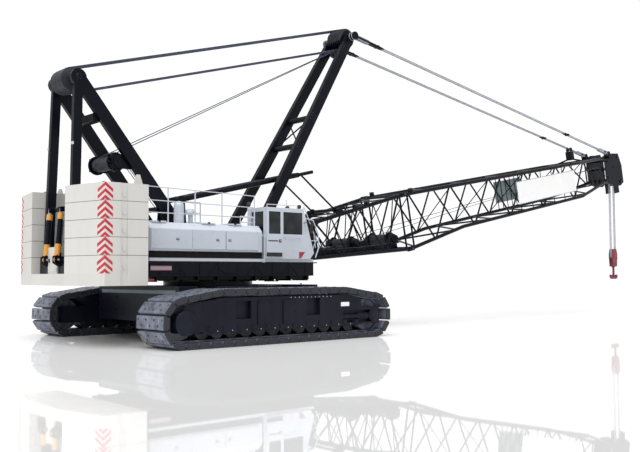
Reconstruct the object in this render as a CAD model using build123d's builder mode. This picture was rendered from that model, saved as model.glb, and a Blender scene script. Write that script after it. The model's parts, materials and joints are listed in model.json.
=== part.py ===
from build123d import *
import os
from math import atan2, cos, degrees, hypot, radians, sin

os.makedirs("parts", exist_ok=True)

# Lattice-boom crawler crane at full size, in millimetres.
# +X is forward, -Y is the operator's side, +Z is up.
# The origin is on the ground, on the axis about which the upper works turn.

# Fits
running_gap = 5.0
seat_gap = 0.3
stack_gap = 0.5
pin_fit = 0.2

# Crawlers
track_length = 8040.0
track_gauge = 6810.0
shoe_width = 1410.0
shoe_count = 46
shoe_thickness = 170.0
shoe_pin_depth = 85.0
shoe_gap = 22.0
shoe_edge_rise = 28.0
shoe_edge_run = 16.0
shoe_inner_run = 45.0
link_thickness = 40.0
link_width = 760.0
end_radius = 680.0
track_height = 1540.0
top_run_length = 4400.0

# Side frames, wheels and rollers
frame_inset = 60.0
frame_top_gap = 20.0
roller_gap = 40.0
frame_bottom_z = 400.0
roller_count = 12
roller_radius = 215.0
roller_axle_radius = 70.0
channel_width = 660.0
channel_height = 330.0
hub_radius = 330.0
hub_boss_radius = 250.0
hub_chamfer = 14.0
wheel_width = 520.0
hanger_drop = 60.0
hanger_half_length = 95.0
hanger_thickness = 45.0
pad_height = 30.0
recess_depth = 130.0
tensioner_radius = 70.0
tensioner_inset = 90.0

# Car body between the crawlers
carbody_bottom_z = 560.0
carbody_top_z = 1260.0
cross_beam_x = 1500.0
cross_beam_width = 820.0
pedestal_radius = 1480.0
pedestal_top_z = 1480.0
carbody_weight_length = 620.0
carbody_weight_half_width = 2380.0
carbody_weight_top_z = 1600.0
carbody_flange_length = 70.0
carbody_flange_rise = 70.0
ring_outer_radius = 1400.0
ring_inner_radius = 1050.0
ring_lower_top_z = 1660.0

# Upper works
bed_bottom_z = 1850.0
bed_rear_x = -5100.0
bed_front_x = 2900.0
bed_plate_front_x = 2400.0
bed_half_width = 930.0
bed_top_z = 2440.0
deck_half_width = 1750.0
deck_rear_x = -3090.0
deck_bottom_z = 1870.0
deck_frame_top_z = 2310.0
deck_top_z = 2400.0
deck_rib_pitch = 600.0
deck_rib_depth = 16.0
deck_rib_length = 50.0
step_length = 160.0
step_thickness = 35.0

# Machinery houses
house_front_x = 820.0
house_roof_z = 3420.0
house_inner_y = 980.0
house_wall = 40.0
roof_chamfer = 190.0
band_top_z = 2600.0
band_depth = 20.0
door_bottom_z = 2660.0
door_top_z = 3190.0
door_thickness = 30.0
door_barrel_radius = 18.0
door_opening_inset = 60.0
engine_length = 1900.0
engine_height = 800.0
engine_clearance = 60.0
rail_y = 1530.0
rail_post_radius = 20.0
rail_radius = 14.0
rail_rear_top_z = 4440.0
rail_front_top_z = 4360.0
silencer_x = -1850.0
silencer_y = -1250.0
silencer_radius = 150.0
silencer_top_z = 4080.0

# Cab
cab_rear_x = 900.0
cab_front_x = 2860.0
cab_roof_front_x = 2430.0
cab_outer_y = -1830.0
cab_inner_y = -960.0
cab_floor_z = 2400.0
cab_roof_z = 4010.0
cab_wall = 50.0
cab_sill_z = 3180.0
cab_door_rear_x = 930.0
cab_door_front_x = 1530.0
cab_front_window_rear_x = 1600.0
cab_front_window_front_x = 2380.0
cab_pillar = 70.0
grab_rail_radius = 17.0
glass_thickness = 12.0

# Counterweight
weight_rear_x = -5290.0
weight_corner_x = -4940.0
weight_front_x = -3690.0
weight_half_width = 2730.0
weight_gap_half = 1100.0
tray_bottom_z = 1640.0
tray_height = 320.0
weight_top_z = 4320.0
slab_count = 5
weight_recess_x = -4390.0
weight_recess_length = 200.0
weight_recess_depth = 35.0
weight_recess_y = weight_half_width - weight_recess_depth
weight_eye_height = 90.0
weight_bracket_x = -3850.0
weight_bracket_y = 2450.0
weight_bracket_height = 280.0

# Gantry
luffing_ys = [120.0 * (i - 2.5) for i in range(6)]
gantry_head_x = -4780.0
gantry_head_z = 7420.0
gantry_rear_foot_x = -4900.0
gantry_front_foot_x = -1050.0
gantry_lug_height = 260.0
gantry_head_half = 700.0
gantry_foot_half = 820.0
gantry_leg_depth = 380.0
gantry_leg_width = 150.0
gantry_back_leg_depth = 250.0
gantry_foot_rise = 200.0
gantry_shaft_radius = 110.0
gantry_knuckle_radius = 230.0
gantry_tie_radius = 80.0
winch_x = -3550.0
winch_z = 5160.0
winch_drum_radius = 190.0
winch_flange_radius = 280.0
winch_flange_thickness = 40.0
winch_plate = 32.0
winch_plate_length = 550.0
winch_plate_rise = 200.0
gantry_tie_shares = (0.22, 0.74)
luffing_sheave_half = 40.0
gantry_sheave_radius = 330.0

# Live mast, whose feet are eye plates between lugs on the bed
mast_eye_radius = 150.0
mast_eye_length = 420.0
mast_eye_thickness = 80.0
mast_pin_radius = 60.0
mast_foot_x = 1150.0
mast_foot_z = 2950.0
mast_head_x = 5750.0
mast_head_z = 10500.0
mast_foot_half = 830.0
mast_head_half = 480.0
mast_leg_depth = 340.0
mast_leg_width = 180.0
mast_sheave_radius = 330.0
mast_beam_radius = 100.0
mast_brace_radius = 26.0
head_shaft_radius = 90.0
head_fin_thickness = 20.0

# Boom
boom_foot_x = 2700.0
boom_foot_z = 2820.0
boom_angle = 11.0
boom_foot_half = 790.0
boom_half_width = 1030.0
butt_length = 5500.0
chord_radius = 72.0
lace_radius = 36.0
lace_end_gap = 14.0
lace_node_half = 30.0
foot_plate_length = 350.0
boom_pin_radius = 85.0

# Pendants, ropes and hook
pendant_lug_s = 20750.0
pendant_lug_t = 1050.0
pendant_mast_half = 690.0
pendant_boom_half = 620.0
pendant_spacing = 120.0
pendant_rope_radius = 26.0
hoist_rope_radius = 14.0
head_sheave_s = 21940.0
head_sheave_t = -500.0
jib_bore_radius = 45.5
jib_bore_s = 21850.0
jib_bore_t = 760.0
hook_bottom_z = 1620.0
hook_block_bottom_z = 2250.0
hook_block_top_z = 3130.0
hook_fall_half = 200.0

# Backstops
backstop_foot_x = -1350.0
backstop_foot_z = 4200.0
backstop_half = 480.0
backstop_end_x = 3950.0
backstop_end_z = 5450.0
backstop_tube_radius = 85.0
backstop_rod_radius = 60.0
strut_top_share = 0.88
strut_foot_s = 2400.0
strut_radius = 32.0
strut_beam_radius = 55.0
strut_seat_height = 170.0
strut_eye_half = 40.0
strut_eye_wall = 45.0
strut_post_half = 20.0
backstop_pin_radius = 45.0
backstop_eye_radius = 110.0
backstop_eye_half = 70.0
backstop_tube_start = 300.0

right = -1
left = 1
boom_plane = Plane(
    origin=(boom_foot_x, 0, boom_foot_z),
    x_dir=(cos(radians(boom_angle)), 0, sin(radians(boom_angle))),
    z_dir=(0, -1, 0),
)
mast_angle = degrees(atan2(mast_head_z - mast_foot_z, mast_head_x - mast_foot_x))
mast_length = hypot(mast_head_z - mast_foot_z, mast_head_x - mast_foot_x)
mast_plane = Plane(
    origin=(mast_foot_x, 0, mast_foot_z),
    x_dir=(cos(radians(mast_angle)), 0, sin(radians(mast_angle))),
    z_dir=(0, -1, 0),
)


def block(low, high, mode=Mode.ADD):
    """A box between two opposite corners, in the part being built."""
    with Locations(tuple((low[i] + high[i]) / 2 for i in range(3))):
        Box(high[0] - low[0], high[1] - low[1], high[2] - low[2], mode=mode)


def rod(start, end, radius, mode=Mode.ADD):
    """A round bar from one point to another, in the part being built."""
    start, end = Vector(start), Vector(end)
    with Locations(Plane(origin=start, z_dir=end - start)):
        Cylinder(radius, (end - start).length, align=(Align.CENTER, Align.CENTER, Align.MIN), mode=mode)


def cross_rod(x, z, low_y, high_y, radius, mode=Mode.ADD):
    """A round bar across the crane, from one side distance to another."""
    rod((x, low_y, z), (x, high_y, z), radius, mode)


def side_plate(points, low_y, high_y, mode=Mode.ADD, plane=Plane.XZ):
    """A plate with a side-view outline, between two distances across."""
    with BuildSketch(plane.offset(-high_y)) as outline:
        Polygon(*points, align=None)
    extrude(outline.sketch, amount=high_y - low_y, mode=mode)


def in_boom(s, t, y=0.0):
    """The point at a distance along the boom from its foot and above its axis."""
    return boom_plane.from_local_coords(Vector(s, t, -y))


def in_mast(s, t, y=0.0):
    """The point at a distance along the mast from its foot and above its axis."""
    return mast_plane.from_local_coords(Vector(s, t, -y))


def save(piece, name):
    """Label a finished piece and write it."""
    piece.part.label = name
    export_step(piece.part, f"parts/{name}.step")


# Crawler tracks
half_run = track_length / 2 - end_radius


def crawler_outline(inset):
    """The side-view face that lies a distance inside the shoes' outer faces."""
    with BuildSketch(Plane.XZ) as outline:
        with Locations((-half_run, end_radius), (half_run, end_radius)):
            Circle(end_radius - inset)
        with Locations((0, track_height - inset)):
            Rectangle(top_run_length, 2, align=(Align.CENTER, Align.MAX))
        make_hull()
    return outline.face()


shoe_line = crawler_outline(shoe_pin_depth).outer_wire()


def shoe_plane(share, middle):
    """The upright plane at a share of the way round the loop, its x axis along the loop."""
    point, way = shoe_line @ share, shoe_line % share
    return Plane(origin=(point.X, middle, point.Y), x_dir=(way.X, 0, way.Y), z_dir=(0, -1, 0))


def shoe_outline():
    """The section of one shoe: a bevelled pad outside, and a taper inside that clears its neighbours."""
    half = shoe_length / 2
    outer, inner = -shoe_pin_depth, shoe_thickness - shoe_pin_depth
    Polygon(
        (-half + shoe_edge_run, outer),
        (half - shoe_edge_run, outer),
        (half, outer + shoe_edge_rise),
        (half, 0),
        (half - shoe_inner_run, inner),
        (-half + shoe_inner_run, inner),
        (-half, 0),
        (-half, outer + shoe_edge_rise),
        align=None,
    )


shoe_length = shoe_line.length / shoe_count - shoe_gap
link_outer = crawler_outline(shoe_thickness - 1.0)
link_inner = crawler_outline(shoe_thickness + link_thickness)

for side, word in ((right, "right"), (left, "left")):
    middle = side * track_gauge / 2
    shoe_planes = [shoe_plane((i + 0.5) / shoe_count, middle) for i in range(shoe_count)]
    with BuildPart() as track:
        with BuildSketch(Plane.XZ.offset(-middle)):
            add(link_outer)
            add(link_inner, mode=Mode.SUBTRACT)
        extrude(amount=link_width / 2, both=True)
        with BuildSketch(*shoe_planes):
            shoe_outline()
        extrude(amount=shoe_width / 2, both=True)
        # the corners that turn below the ground line at the ends of the lower run
        block(
            (-track_length, middle - shoe_width, -shoe_thickness),
            (track_length, middle + shoe_width, 0),
            mode=Mode.SUBTRACT,
        )
    save(track, f"crawler_track_{word}")

# Side frames, which carry the wheels and rollers
loop_depth = shoe_thickness + link_thickness
wheel_radius = end_radius - loop_depth - seat_gap
frame_half = half_run - wheel_radius - roller_gap
frame_half_width = shoe_width / 2 - frame_inset
frame_inner_y = track_gauge / 2 - frame_half_width
roller_z = loop_depth + seat_gap + roller_radius
roller_span = 2 * (frame_half - roller_radius)
roller_xs = [roller_span * (i / (roller_count - 1) - 0.5) for i in range(roller_count)]
channel_top_z = frame_bottom_z + channel_height
# rear x, front x, low z, high z
side_pads = ((-1070.0, -610.0, 550.0, 1200.0), (-190.0, 300.0, 550.0, 1200.0))
side_recesses = (
    (-1790.0, -1290.0, 730.0, 1210.0),
    (670.0, 1180.0, 750.0, 1230.0),
    (2080.0, 3330.0, 480.0, 840.0),
)

for side, word in ((right, "right"), (left, "left")):
    middle = side * track_gauge / 2
    with BuildPart() as side_frame:
        with BuildSketch(Plane.XZ.offset(-middle)):
            add(crawler_outline(loop_depth + frame_top_gap))
            with Locations((0, frame_bottom_z)):
                Rectangle(2 * frame_half, track_height, align=(Align.CENTER, Align.MIN), mode=Mode.INTERSECT)
        extrude(amount=frame_half_width, both=True)
        block(
            (-frame_half, middle - channel_width / 2, frame_bottom_z),
            (frame_half, middle + channel_width / 2, channel_top_z),
            mode=Mode.SUBTRACT,
        )
        for end in (-1, 1):
            for cheek in (-1, 1):
                low_y, high_y = sorted((cheek * channel_width / 2, cheek * frame_half_width))
                low_x, high_x = sorted((end * (frame_half - 1), end * (half_run + hub_boss_radius)))
                block(
                    (low_x, middle + low_y, end_radius - hub_boss_radius),
                    (high_x, middle + high_y, end_radius + hub_boss_radius),
                )
        for x in roller_xs:
            for cheek in (-1, 1):
                inner_y = frame_half_width - hanger_thickness
                low_y, high_y = sorted((cheek * frame_half_width, cheek * inner_y))
                side_plate(
                    (
                        (x - hanger_half_length, frame_bottom_z + 1),
                        (x + hanger_half_length, frame_bottom_z + 1),
                        (x + hanger_half_length - hanger_drop, frame_bottom_z - hanger_drop),
                        (x - hanger_half_length + hanger_drop, frame_bottom_z - hanger_drop),
                    ),
                    middle + low_y,
                    middle + high_y,
                )
        face_y = middle + side * frame_half_width
        for rear_x, front_x, low_z, high_z in side_recesses:
            low_y, high_y = sorted((face_y + side, face_y - side * recess_depth))
            block((rear_x, low_y, low_z), (front_x, high_y, high_z), mode=Mode.SUBTRACT)
        for rear_x, front_x, low_z, high_z in side_pads:
            low_y, high_y = sorted((face_y - side, face_y + side * pad_height))
            block((rear_x, low_y, low_z), (front_x, high_y, high_z))
        rear_x, front_x, low_z, high_z = side_recesses[-1]
        tensioner_y = face_y - side * recess_depth / 2
        middle_z = (low_z + high_z) / 2
        rod((rear_x - 1, tensioner_y, middle_z), (front_x + 1, tensioner_y, middle_z), tensioner_radius)
        low_y, high_y = sorted((face_y - side * recess_depth, face_y - side * tensioner_inset / 3))
        block(
            ((rear_x + front_x) / 2, low_y, low_z + tensioner_inset),
            (front_x - tensioner_inset, high_y, high_z - tensioner_inset),
        )
    save(side_frame, f"side_frame_{word}")

with BuildPart() as end_wheels:
    for side in (right, left):
        middle = side * track_gauge / 2
        for x in (-half_run, half_run):
            cross_rod(x, end_radius, middle - wheel_width / 2, middle + wheel_width / 2, wheel_radius)
            low_y, high_y = middle - channel_width / 2, middle + channel_width / 2
            cross_rod(x, end_radius, low_y, high_y, roller_axle_radius)
save(end_wheels, "track_end_wheels")

with BuildPart() as rollers:
    for side in (right, left):
        middle = side * track_gauge / 2
        for x in roller_xs:
            cross_rod(x, roller_z, middle - wheel_width / 2, middle + wheel_width / 2, roller_radius)
            cross_rod(x, roller_z, middle - channel_width / 2, middle + channel_width / 2, roller_axle_radius)
save(rollers, "track_rollers")

with BuildPart() as drives:
    for side in (right, left):
        inner, outer = sorted(
            (
                side * (track_gauge / 2 + frame_half_width),
                side * (track_gauge / 2 + shoe_width / 2),
            )
        )
        cross_rod(-half_run, end_radius, inner, outer, hub_radius)
        rim = drives.edges().filter_by(GeomType.CIRCLE).sort_by(Axis.Y)[0 if side == right else -1]
        chamfer(rim, hub_chamfer)
save(drives, "track_drive_covers")

# Car body
with BuildPart() as carbody:
    for end in (-1, 1):
        x = end * cross_beam_x
        block(
            (x - cross_beam_width / 2, -frame_inner_y, carbody_bottom_z),
            (x + cross_beam_width / 2, frame_inner_y, carbody_top_z),
        )
        for side in (right, left):
            low_y, high_y = sorted((side * (frame_inner_y - carbody_flange_length), side * frame_inner_y))
            flange_half = cross_beam_width / 2 + carbody_flange_rise
            block(
                (x - flange_half, low_y, carbody_bottom_z - carbody_flange_rise),
                (x + flange_half, high_y, carbody_top_z + carbody_flange_rise),
            )
    with BuildSketch(Plane.XY.offset(carbody_bottom_z)):
        Circle(pedestal_radius)
    extrude(amount=pedestal_top_z - carbody_bottom_z)
save(carbody, "carbody")

carbody_weight_x = cross_beam_x + cross_beam_width / 2
with BuildPart() as carbody_weights:
    for end in (-1, 1):
        low_x, high_x = sorted((end * carbody_weight_x, end * (carbody_weight_x + carbody_weight_length)))
        block(
            (low_x, -carbody_weight_half_width, carbody_bottom_z),
            (high_x, carbody_weight_half_width, carbody_weight_top_z),
        )
save(carbody_weights, "carbody_counterweights")

with BuildPart() as slew_ring:
    with BuildSketch(Plane.XY.offset(pedestal_top_z)):
        Circle(ring_outer_radius)
        Circle(ring_inner_radius, mode=Mode.SUBTRACT)
    extrude(amount=ring_lower_top_z - pedestal_top_z)
save(slew_ring, "slew_ring")

# Rotating bed with its boom and mast lugs
lug_thickness = 90.0
boom_lug_length = 900.0
boom_lug_radius = 160.0
boom_foot_thickness = 160.0
with BuildPart() as bed:
    block((bed_rear_x, -bed_half_width, bed_bottom_z), (bed_plate_front_x, bed_half_width, bed_top_z))
    with BuildSketch(Plane.XY.offset(ring_lower_top_z + seat_gap)):
        Circle(ring_outer_radius)
        Circle(ring_inner_radius, mode=Mode.SUBTRACT)
    extrude(amount=bed_bottom_z - ring_lower_top_z)
    for side in (right, left):
        inside = boom_foot_half - boom_foot_thickness - pin_fit - lug_thickness
        for inner in (boom_foot_half + pin_fit, inside):
            low_y, high_y = sorted((side * inner, side * (inner + lug_thickness)))
            side_plate(
                (
                    (boom_foot_x - boom_lug_length, bed_bottom_z),
                    (boom_foot_x, bed_bottom_z),
                    (boom_foot_x + boom_lug_radius, boom_foot_z),
                    (boom_foot_x, boom_foot_z + 1.25 * boom_lug_radius),
                    (boom_foot_x - boom_lug_radius, boom_foot_z + boom_lug_radius),
                    (boom_foot_x - boom_lug_length, bed_top_z),
                ),
                low_y,
                high_y,
            )
        low_y, high_y = sorted(
            (
                side * (boom_foot_half - boom_foot_thickness - pin_fit - lug_thickness),
                side * (boom_foot_half + pin_fit + lug_thickness),
            )
        )
        cross_rod(boom_foot_x, boom_foot_z, low_y, high_y, boom_pin_radius)
save(bed, "rotating_bed")

with BuildPart() as decks:
    for side in (right, left):
        low_y, high_y = sorted((side * bed_half_width, side * deck_half_width))
        block((deck_rear_x, low_y, deck_bottom_z), (bed_front_x, high_y, deck_frame_top_z))
        ribs = int((bed_front_x - deck_rear_x) / deck_rib_pitch)
        for i in range(ribs):
            x = deck_rear_x + (i + 0.5) * (bed_front_x - deck_rear_x) / ribs
            face_y, rib_y = sorted((side * (deck_half_width - 1), side * (deck_half_width + deck_rib_depth)))
            block(
                (x - deck_rib_length / 2, face_y, deck_bottom_z + deck_rib_length),
                (x + deck_rib_length / 2, rib_y, deck_frame_top_z - deck_rib_length),
            )
        block(
            (bed_front_x - 1, low_y, deck_frame_top_z - step_thickness),
            (bed_front_x + step_length, high_y, deck_frame_top_z),
        )
save(decks, "side_decks")

with BuildPart() as deck_edges:
    for side in (right, left):
        low_y, high_y = sorted((side * bed_half_width, side * deck_half_width))
        block((deck_rear_x, low_y, deck_frame_top_z), (bed_front_x, high_y, deck_top_z))
save(deck_edges, "deck_plates")

# Machinery houses
# rear x, front x, end with the hinge
door_table = ((-3050.0, -1720.0, -1), (-1690.0, -560.0, -1), (-530.0, 640.0, 1))
door_y = deck_half_width + running_gap
for side, word in ((right, "right"), (left, "left")):
    with BuildPart() as house:
        low_y, high_y = sorted((side * house_inner_y, side * deck_half_width))
        block((deck_rear_x, low_y, deck_top_z), (house_front_x, high_y, house_roof_z))
        roof_edge = house.edges().filter_by(Axis.X).group_by(Axis.Z)[-1].sort_by(Axis.Y)
        chamfer(roof_edge[0 if side == right else -1], roof_chamfer)
        band_y = side * (deck_half_width - band_depth)
        low_y, high_y = sorted((band_y, side * (deck_half_width + 1)))
        block(
            (deck_rear_x, low_y, deck_top_z + 20),
            (house_front_x, high_y, band_top_z),
            mode=Mode.SUBTRACT,
        )
        low_y, high_y = sorted((side * (house_inner_y + house_wall), side * (deck_half_width - house_wall)))
        block(
            (deck_rear_x + house_wall, low_y, deck_top_z + house_wall),
            (house_front_x - house_wall, high_y, house_roof_z - roof_chamfer - house_wall),
            mode=Mode.SUBTRACT,
        )
        for rear_x, front_x, hinge_end in door_table:
            low_y, high_y = sorted((side * (deck_half_width - house_wall - 1), side * (deck_half_width + 1)))
            block(
                (rear_x + door_opening_inset, low_y, door_bottom_z + door_opening_inset),
                (front_x - door_opening_inset, high_y, door_top_z - door_opening_inset),
                mode=Mode.SUBTRACT,
            )
            hinge_x = rear_x if hinge_end < 0 else front_x
            hinge_y = side * (door_y + door_barrel_radius)
            for low_z, high_z in (
                (door_bottom_z - 40, door_bottom_z - seat_gap),
                (door_top_z + seat_gap, door_top_z + 40),
            ):
                rod((hinge_x, hinge_y, low_z), (hinge_x, hinge_y, high_z), door_barrel_radius)
                low_y, high_y = sorted((side * (deck_half_width - 1), hinge_y))
                block(
                    (hinge_x - door_barrel_radius, low_y, low_z),
                    (hinge_x + door_barrel_radius, high_y, high_z),
                )
    save(house, f"machinery_house_{word}")
    for number, (rear_x, front_x, hinge_end) in enumerate(door_table, 1):
        hinge_x = rear_x if hinge_end < 0 else front_x
        hinge_y = side * (door_y + door_barrel_radius)
        with BuildPart() as door:
            middle_y = side * (door_y + door_barrel_radius)
            block(
                (rear_x, middle_y - door_thickness / 2, door_bottom_z),
                (front_x, middle_y + door_thickness / 2, door_top_z),
            )
            rod((hinge_x, hinge_y, door_bottom_z), (hinge_x, hinge_y, door_top_z), door_barrel_radius)
        save(door, f"house_door_{word}_{number}")

rail_posts_x = (-3050.0, -2380.0, -1470.0, -520.0, 690.0)
rail_heights = (0.28, 0.62, 1.0)
for side, word in ((right, "right"), (left, "left")):
    y = side * rail_y
    with BuildPart() as rails:
        for x in rail_posts_x:
            share = (x - rail_posts_x[0]) / (rail_posts_x[-1] - rail_posts_x[0])
            top_z = rail_rear_top_z + share * (rail_front_top_z - rail_rear_top_z)
            rod((x, y, house_roof_z), (x, y, top_z), rail_post_radius)
        for rise in rail_heights:
            rod(
                (rail_posts_x[0], y, house_roof_z + rise * (rail_rear_top_z - house_roof_z) - rail_radius),
                (rail_posts_x[-1], y, house_roof_z + rise * (rail_front_top_z - house_roof_z) - rail_radius),
                rail_radius,
            )
    save(rails, f"roof_handrail_{word}")

with BuildPart() as silencer:
    low = (silencer_x, silencer_y, house_roof_z)
    high = (silencer_x, silencer_y, silencer_top_z - silencer_radius)
    rod(low, high, silencer_radius)
    with Locations(high):
        Sphere(silencer_radius)
save(silencer, "exhaust_silencer")

with BuildPart() as engine:
    floor_z = deck_top_z + house_wall
    low_y = -(deck_half_width - house_wall - engine_clearance)
    high_y = -(house_inner_y + house_wall + engine_clearance)
    rear_x = deck_rear_x + house_wall + engine_clearance
    block((rear_x, low_y, floor_z), (rear_x + engine_length, high_y, floor_z + engine_height - 120))
save(engine, "engine")

# Cab
cab_side = (
    (cab_rear_x, cab_floor_z),
    (cab_front_x - 170, cab_floor_z),
    (cab_front_x, cab_floor_z + 200),
    (cab_roof_front_x, cab_roof_z),
    (cab_rear_x, cab_roof_z),
)
cab_inside = (
    (cab_rear_x + cab_wall, cab_floor_z + cab_wall),
    (cab_front_x - 190, cab_floor_z + cab_wall),
    (cab_front_x - cab_wall - 10, cab_floor_z + 215),
    (cab_roof_front_x - cab_wall, cab_roof_z - cab_wall),
    (cab_rear_x + cab_wall, cab_roof_z - cab_wall),
)
cab_door_bottom_z = cab_floor_z + 70.0
cab_door_top_z = cab_roof_z - 70.0
window_top_z = cab_roof_z - 130.0
front_window = (cab_front_window_rear_x, cab_front_window_front_x)
door_window = (cab_door_rear_x + cab_pillar, cab_door_front_x - cab_pillar)
front_slope = (cab_roof_front_x - cab_front_x) / (cab_roof_z - cab_floor_z - 200)


def cab_front_at(z):
    """How far forward the slanted windscreen wall is at a height."""
    return cab_front_x + front_slope * (z - cab_floor_z - 200)


cab_door_y = cab_outer_y - running_gap - door_barrel_radius
grab_rail_y = cab_outer_y + cab_wall
grab_rail_points = ((2400.0, 3985.0), (2490.0, 4080.0), (3000.0, 3030.0), (2740.0, 2500.0))
with BuildPart() as cab:
    side_plate(cab_side, cab_outer_y, cab_inner_y)
    side_plate(cab_inside, cab_outer_y + cab_wall, cab_inner_y - cab_wall, mode=Mode.SUBTRACT)
    block(
        (cab_door_rear_x + 30, cab_outer_y - 1, cab_door_bottom_z + 30),
        (cab_door_front_x - 30, cab_outer_y + cab_wall + 1, cab_door_top_z - 30),
        mode=Mode.SUBTRACT,
    )
    block(
        (front_window[0], cab_outer_y - 1, cab_sill_z),
        (front_window[1], cab_outer_y + cab_wall + 1, window_top_z),
        mode=Mode.SUBTRACT,
    )
    block(
        (cab_rear_x + 90, cab_inner_y - cab_wall - 1, cab_sill_z),
        (cab_front_window_front_x, cab_inner_y + 1, window_top_z),
        mode=Mode.SUBTRACT,
    )
    block(
        (cab_rear_x - 1, cab_outer_y + 120, cab_sill_z),
        (cab_rear_x + cab_wall + 1, cab_inner_y - 120, window_top_z),
        mode=Mode.SUBTRACT,
    )
    side_plate(
        (
            (cab_front_at(cab_floor_z + 330) - 250, cab_floor_z + 330),
            (cab_front_at(cab_floor_z + 330) + 20, cab_floor_z + 330),
            (cab_front_at(window_top_z) + 20, window_top_z),
            (cab_front_at(window_top_z) - 150, window_top_z),
        ),
        cab_outer_y + cab_pillar,
        cab_inner_y - cab_pillar,
        mode=Mode.SUBTRACT,
    )
    for low_z, high_z in (
        (cab_door_bottom_z - 40, cab_door_bottom_z - seat_gap),
        (cab_door_top_z + seat_gap, cab_door_top_z + 40),
    ):
        rod((cab_door_rear_x, cab_door_y, low_z), (cab_door_rear_x, cab_door_y, high_z), door_barrel_radius)
        block(
            (cab_door_rear_x - door_barrel_radius, cab_door_y, low_z),
            (cab_door_rear_x + door_barrel_radius, cab_outer_y + 1, high_z),
        )
    for start, end in zip(grab_rail_points, grab_rail_points[1:]):
        rod((start[0], grab_rail_y, start[1]), (end[0], grab_rail_y, end[1]), grab_rail_radius)
        with Locations((end[0], grab_rail_y, end[1])):
            Sphere(grab_rail_radius)
save(cab, "cab_shell")

with BuildPart() as cab_door:
    block(
        (cab_door_rear_x, cab_door_y - door_thickness / 2, cab_door_bottom_z),
        (cab_door_front_x, cab_door_y + door_thickness / 2, cab_door_top_z),
    )
    rod(
        (cab_door_rear_x, cab_door_y, cab_door_bottom_z),
        (cab_door_rear_x, cab_door_y, cab_door_top_z),
        door_barrel_radius,
    )
    block(
        (door_window[0], cab_door_y - door_thickness, cab_sill_z),
        (door_window[1], cab_door_y + door_thickness, window_top_z),
        mode=Mode.SUBTRACT,
    )
save(cab_door, "cab_door")

with BuildPart() as door_glass:
    block(
        (door_window[0], cab_door_y - glass_thickness / 2, cab_sill_z),
        (door_window[1], cab_door_y + glass_thickness / 2, window_top_z),
    )
save(door_glass, "cab_door_glass")

with BuildPart() as cab_glass:
    glass_y = cab_outer_y + cab_wall / 2
    block(
        (front_window[0], glass_y - glass_thickness / 2, cab_sill_z),
        (front_window[1], glass_y + glass_thickness / 2, window_top_z),
    )
    glass_y = cab_inner_y - cab_wall / 2
    block(
        (cab_rear_x + 90, glass_y - glass_thickness / 2, cab_sill_z),
        (cab_front_window_front_x, glass_y + glass_thickness / 2, window_top_z),
    )
    glass_x = cab_rear_x + cab_wall / 2
    block(
        (glass_x - glass_thickness / 2, cab_outer_y + 120, cab_sill_z),
        (glass_x + glass_thickness / 2, cab_inner_y - 120, window_top_z),
    )
    low_z, high_z = cab_floor_z + 330, window_top_z
    side_plate(
        (
            (cab_front_at(low_z) - 30, low_z),
            (cab_front_at(low_z) - 18, low_z),
            (cab_front_at(high_z) - 18, high_z),
            (cab_front_at(high_z) - 30, high_z),
        ),
        cab_outer_y + cab_pillar,
        cab_inner_y - cab_pillar,
    )
save(cab_glass, "cab_glass")

seat_x = cab_rear_x + 560.0
seat_y = (cab_outer_y + cab_inner_y) / 2
seat_floor_z = cab_floor_z + cab_wall
with BuildPart() as seat:
    block((seat_x - 150, seat_y - 150, seat_floor_z), (seat_x + 150, seat_y + 150, seat_floor_z + 330))
    block((seat_x - 230, seat_y - 240, seat_floor_z + 330), (seat_x + 270, seat_y + 240, seat_floor_z + 450))
    side_plate(
        (
            (seat_x - 230, seat_floor_z + 440),
            (seat_x - 120, seat_floor_z + 440),
            (seat_x - 210, seat_floor_z + 1060),
            (seat_x - 310, seat_floor_z + 1060),
        ),
        seat_y - 220,
        seat_y + 220,
    )
save(seat, "operator_seat")

# Counterweight tray and slabs
with BuildPart() as tray:
    with BuildSketch(Plane.XY.offset(tray_bottom_z)):
        Polygon(
            (weight_front_x, -weight_half_width),
            (weight_front_x, weight_half_width),
            (weight_corner_x, weight_half_width),
            (weight_rear_x, weight_gap_half),
            (weight_rear_x, -weight_gap_half),
            (weight_corner_x, -weight_half_width),
            align=None,
        )
    extrude(amount=tray_height)
    for side in (right, left):
        low_y, high_y = sorted((side * (weight_half_width + 1), side * weight_recess_y))
        block(
            (weight_recess_x - weight_recess_length / 2, low_y, tray_bottom_z - 1),
            (weight_recess_x + weight_recess_length / 2, high_y, tray_bottom_z + tray_height + 1),
            mode=Mode.SUBTRACT,
        )
    block(
        (bed_rear_x, -bed_half_width, bed_bottom_z),
        (weight_front_x + 1, bed_half_width, tray_bottom_z + tray_height + 1),
        mode=Mode.SUBTRACT,
    )
save(tray, "counterweight_tray")

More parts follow.
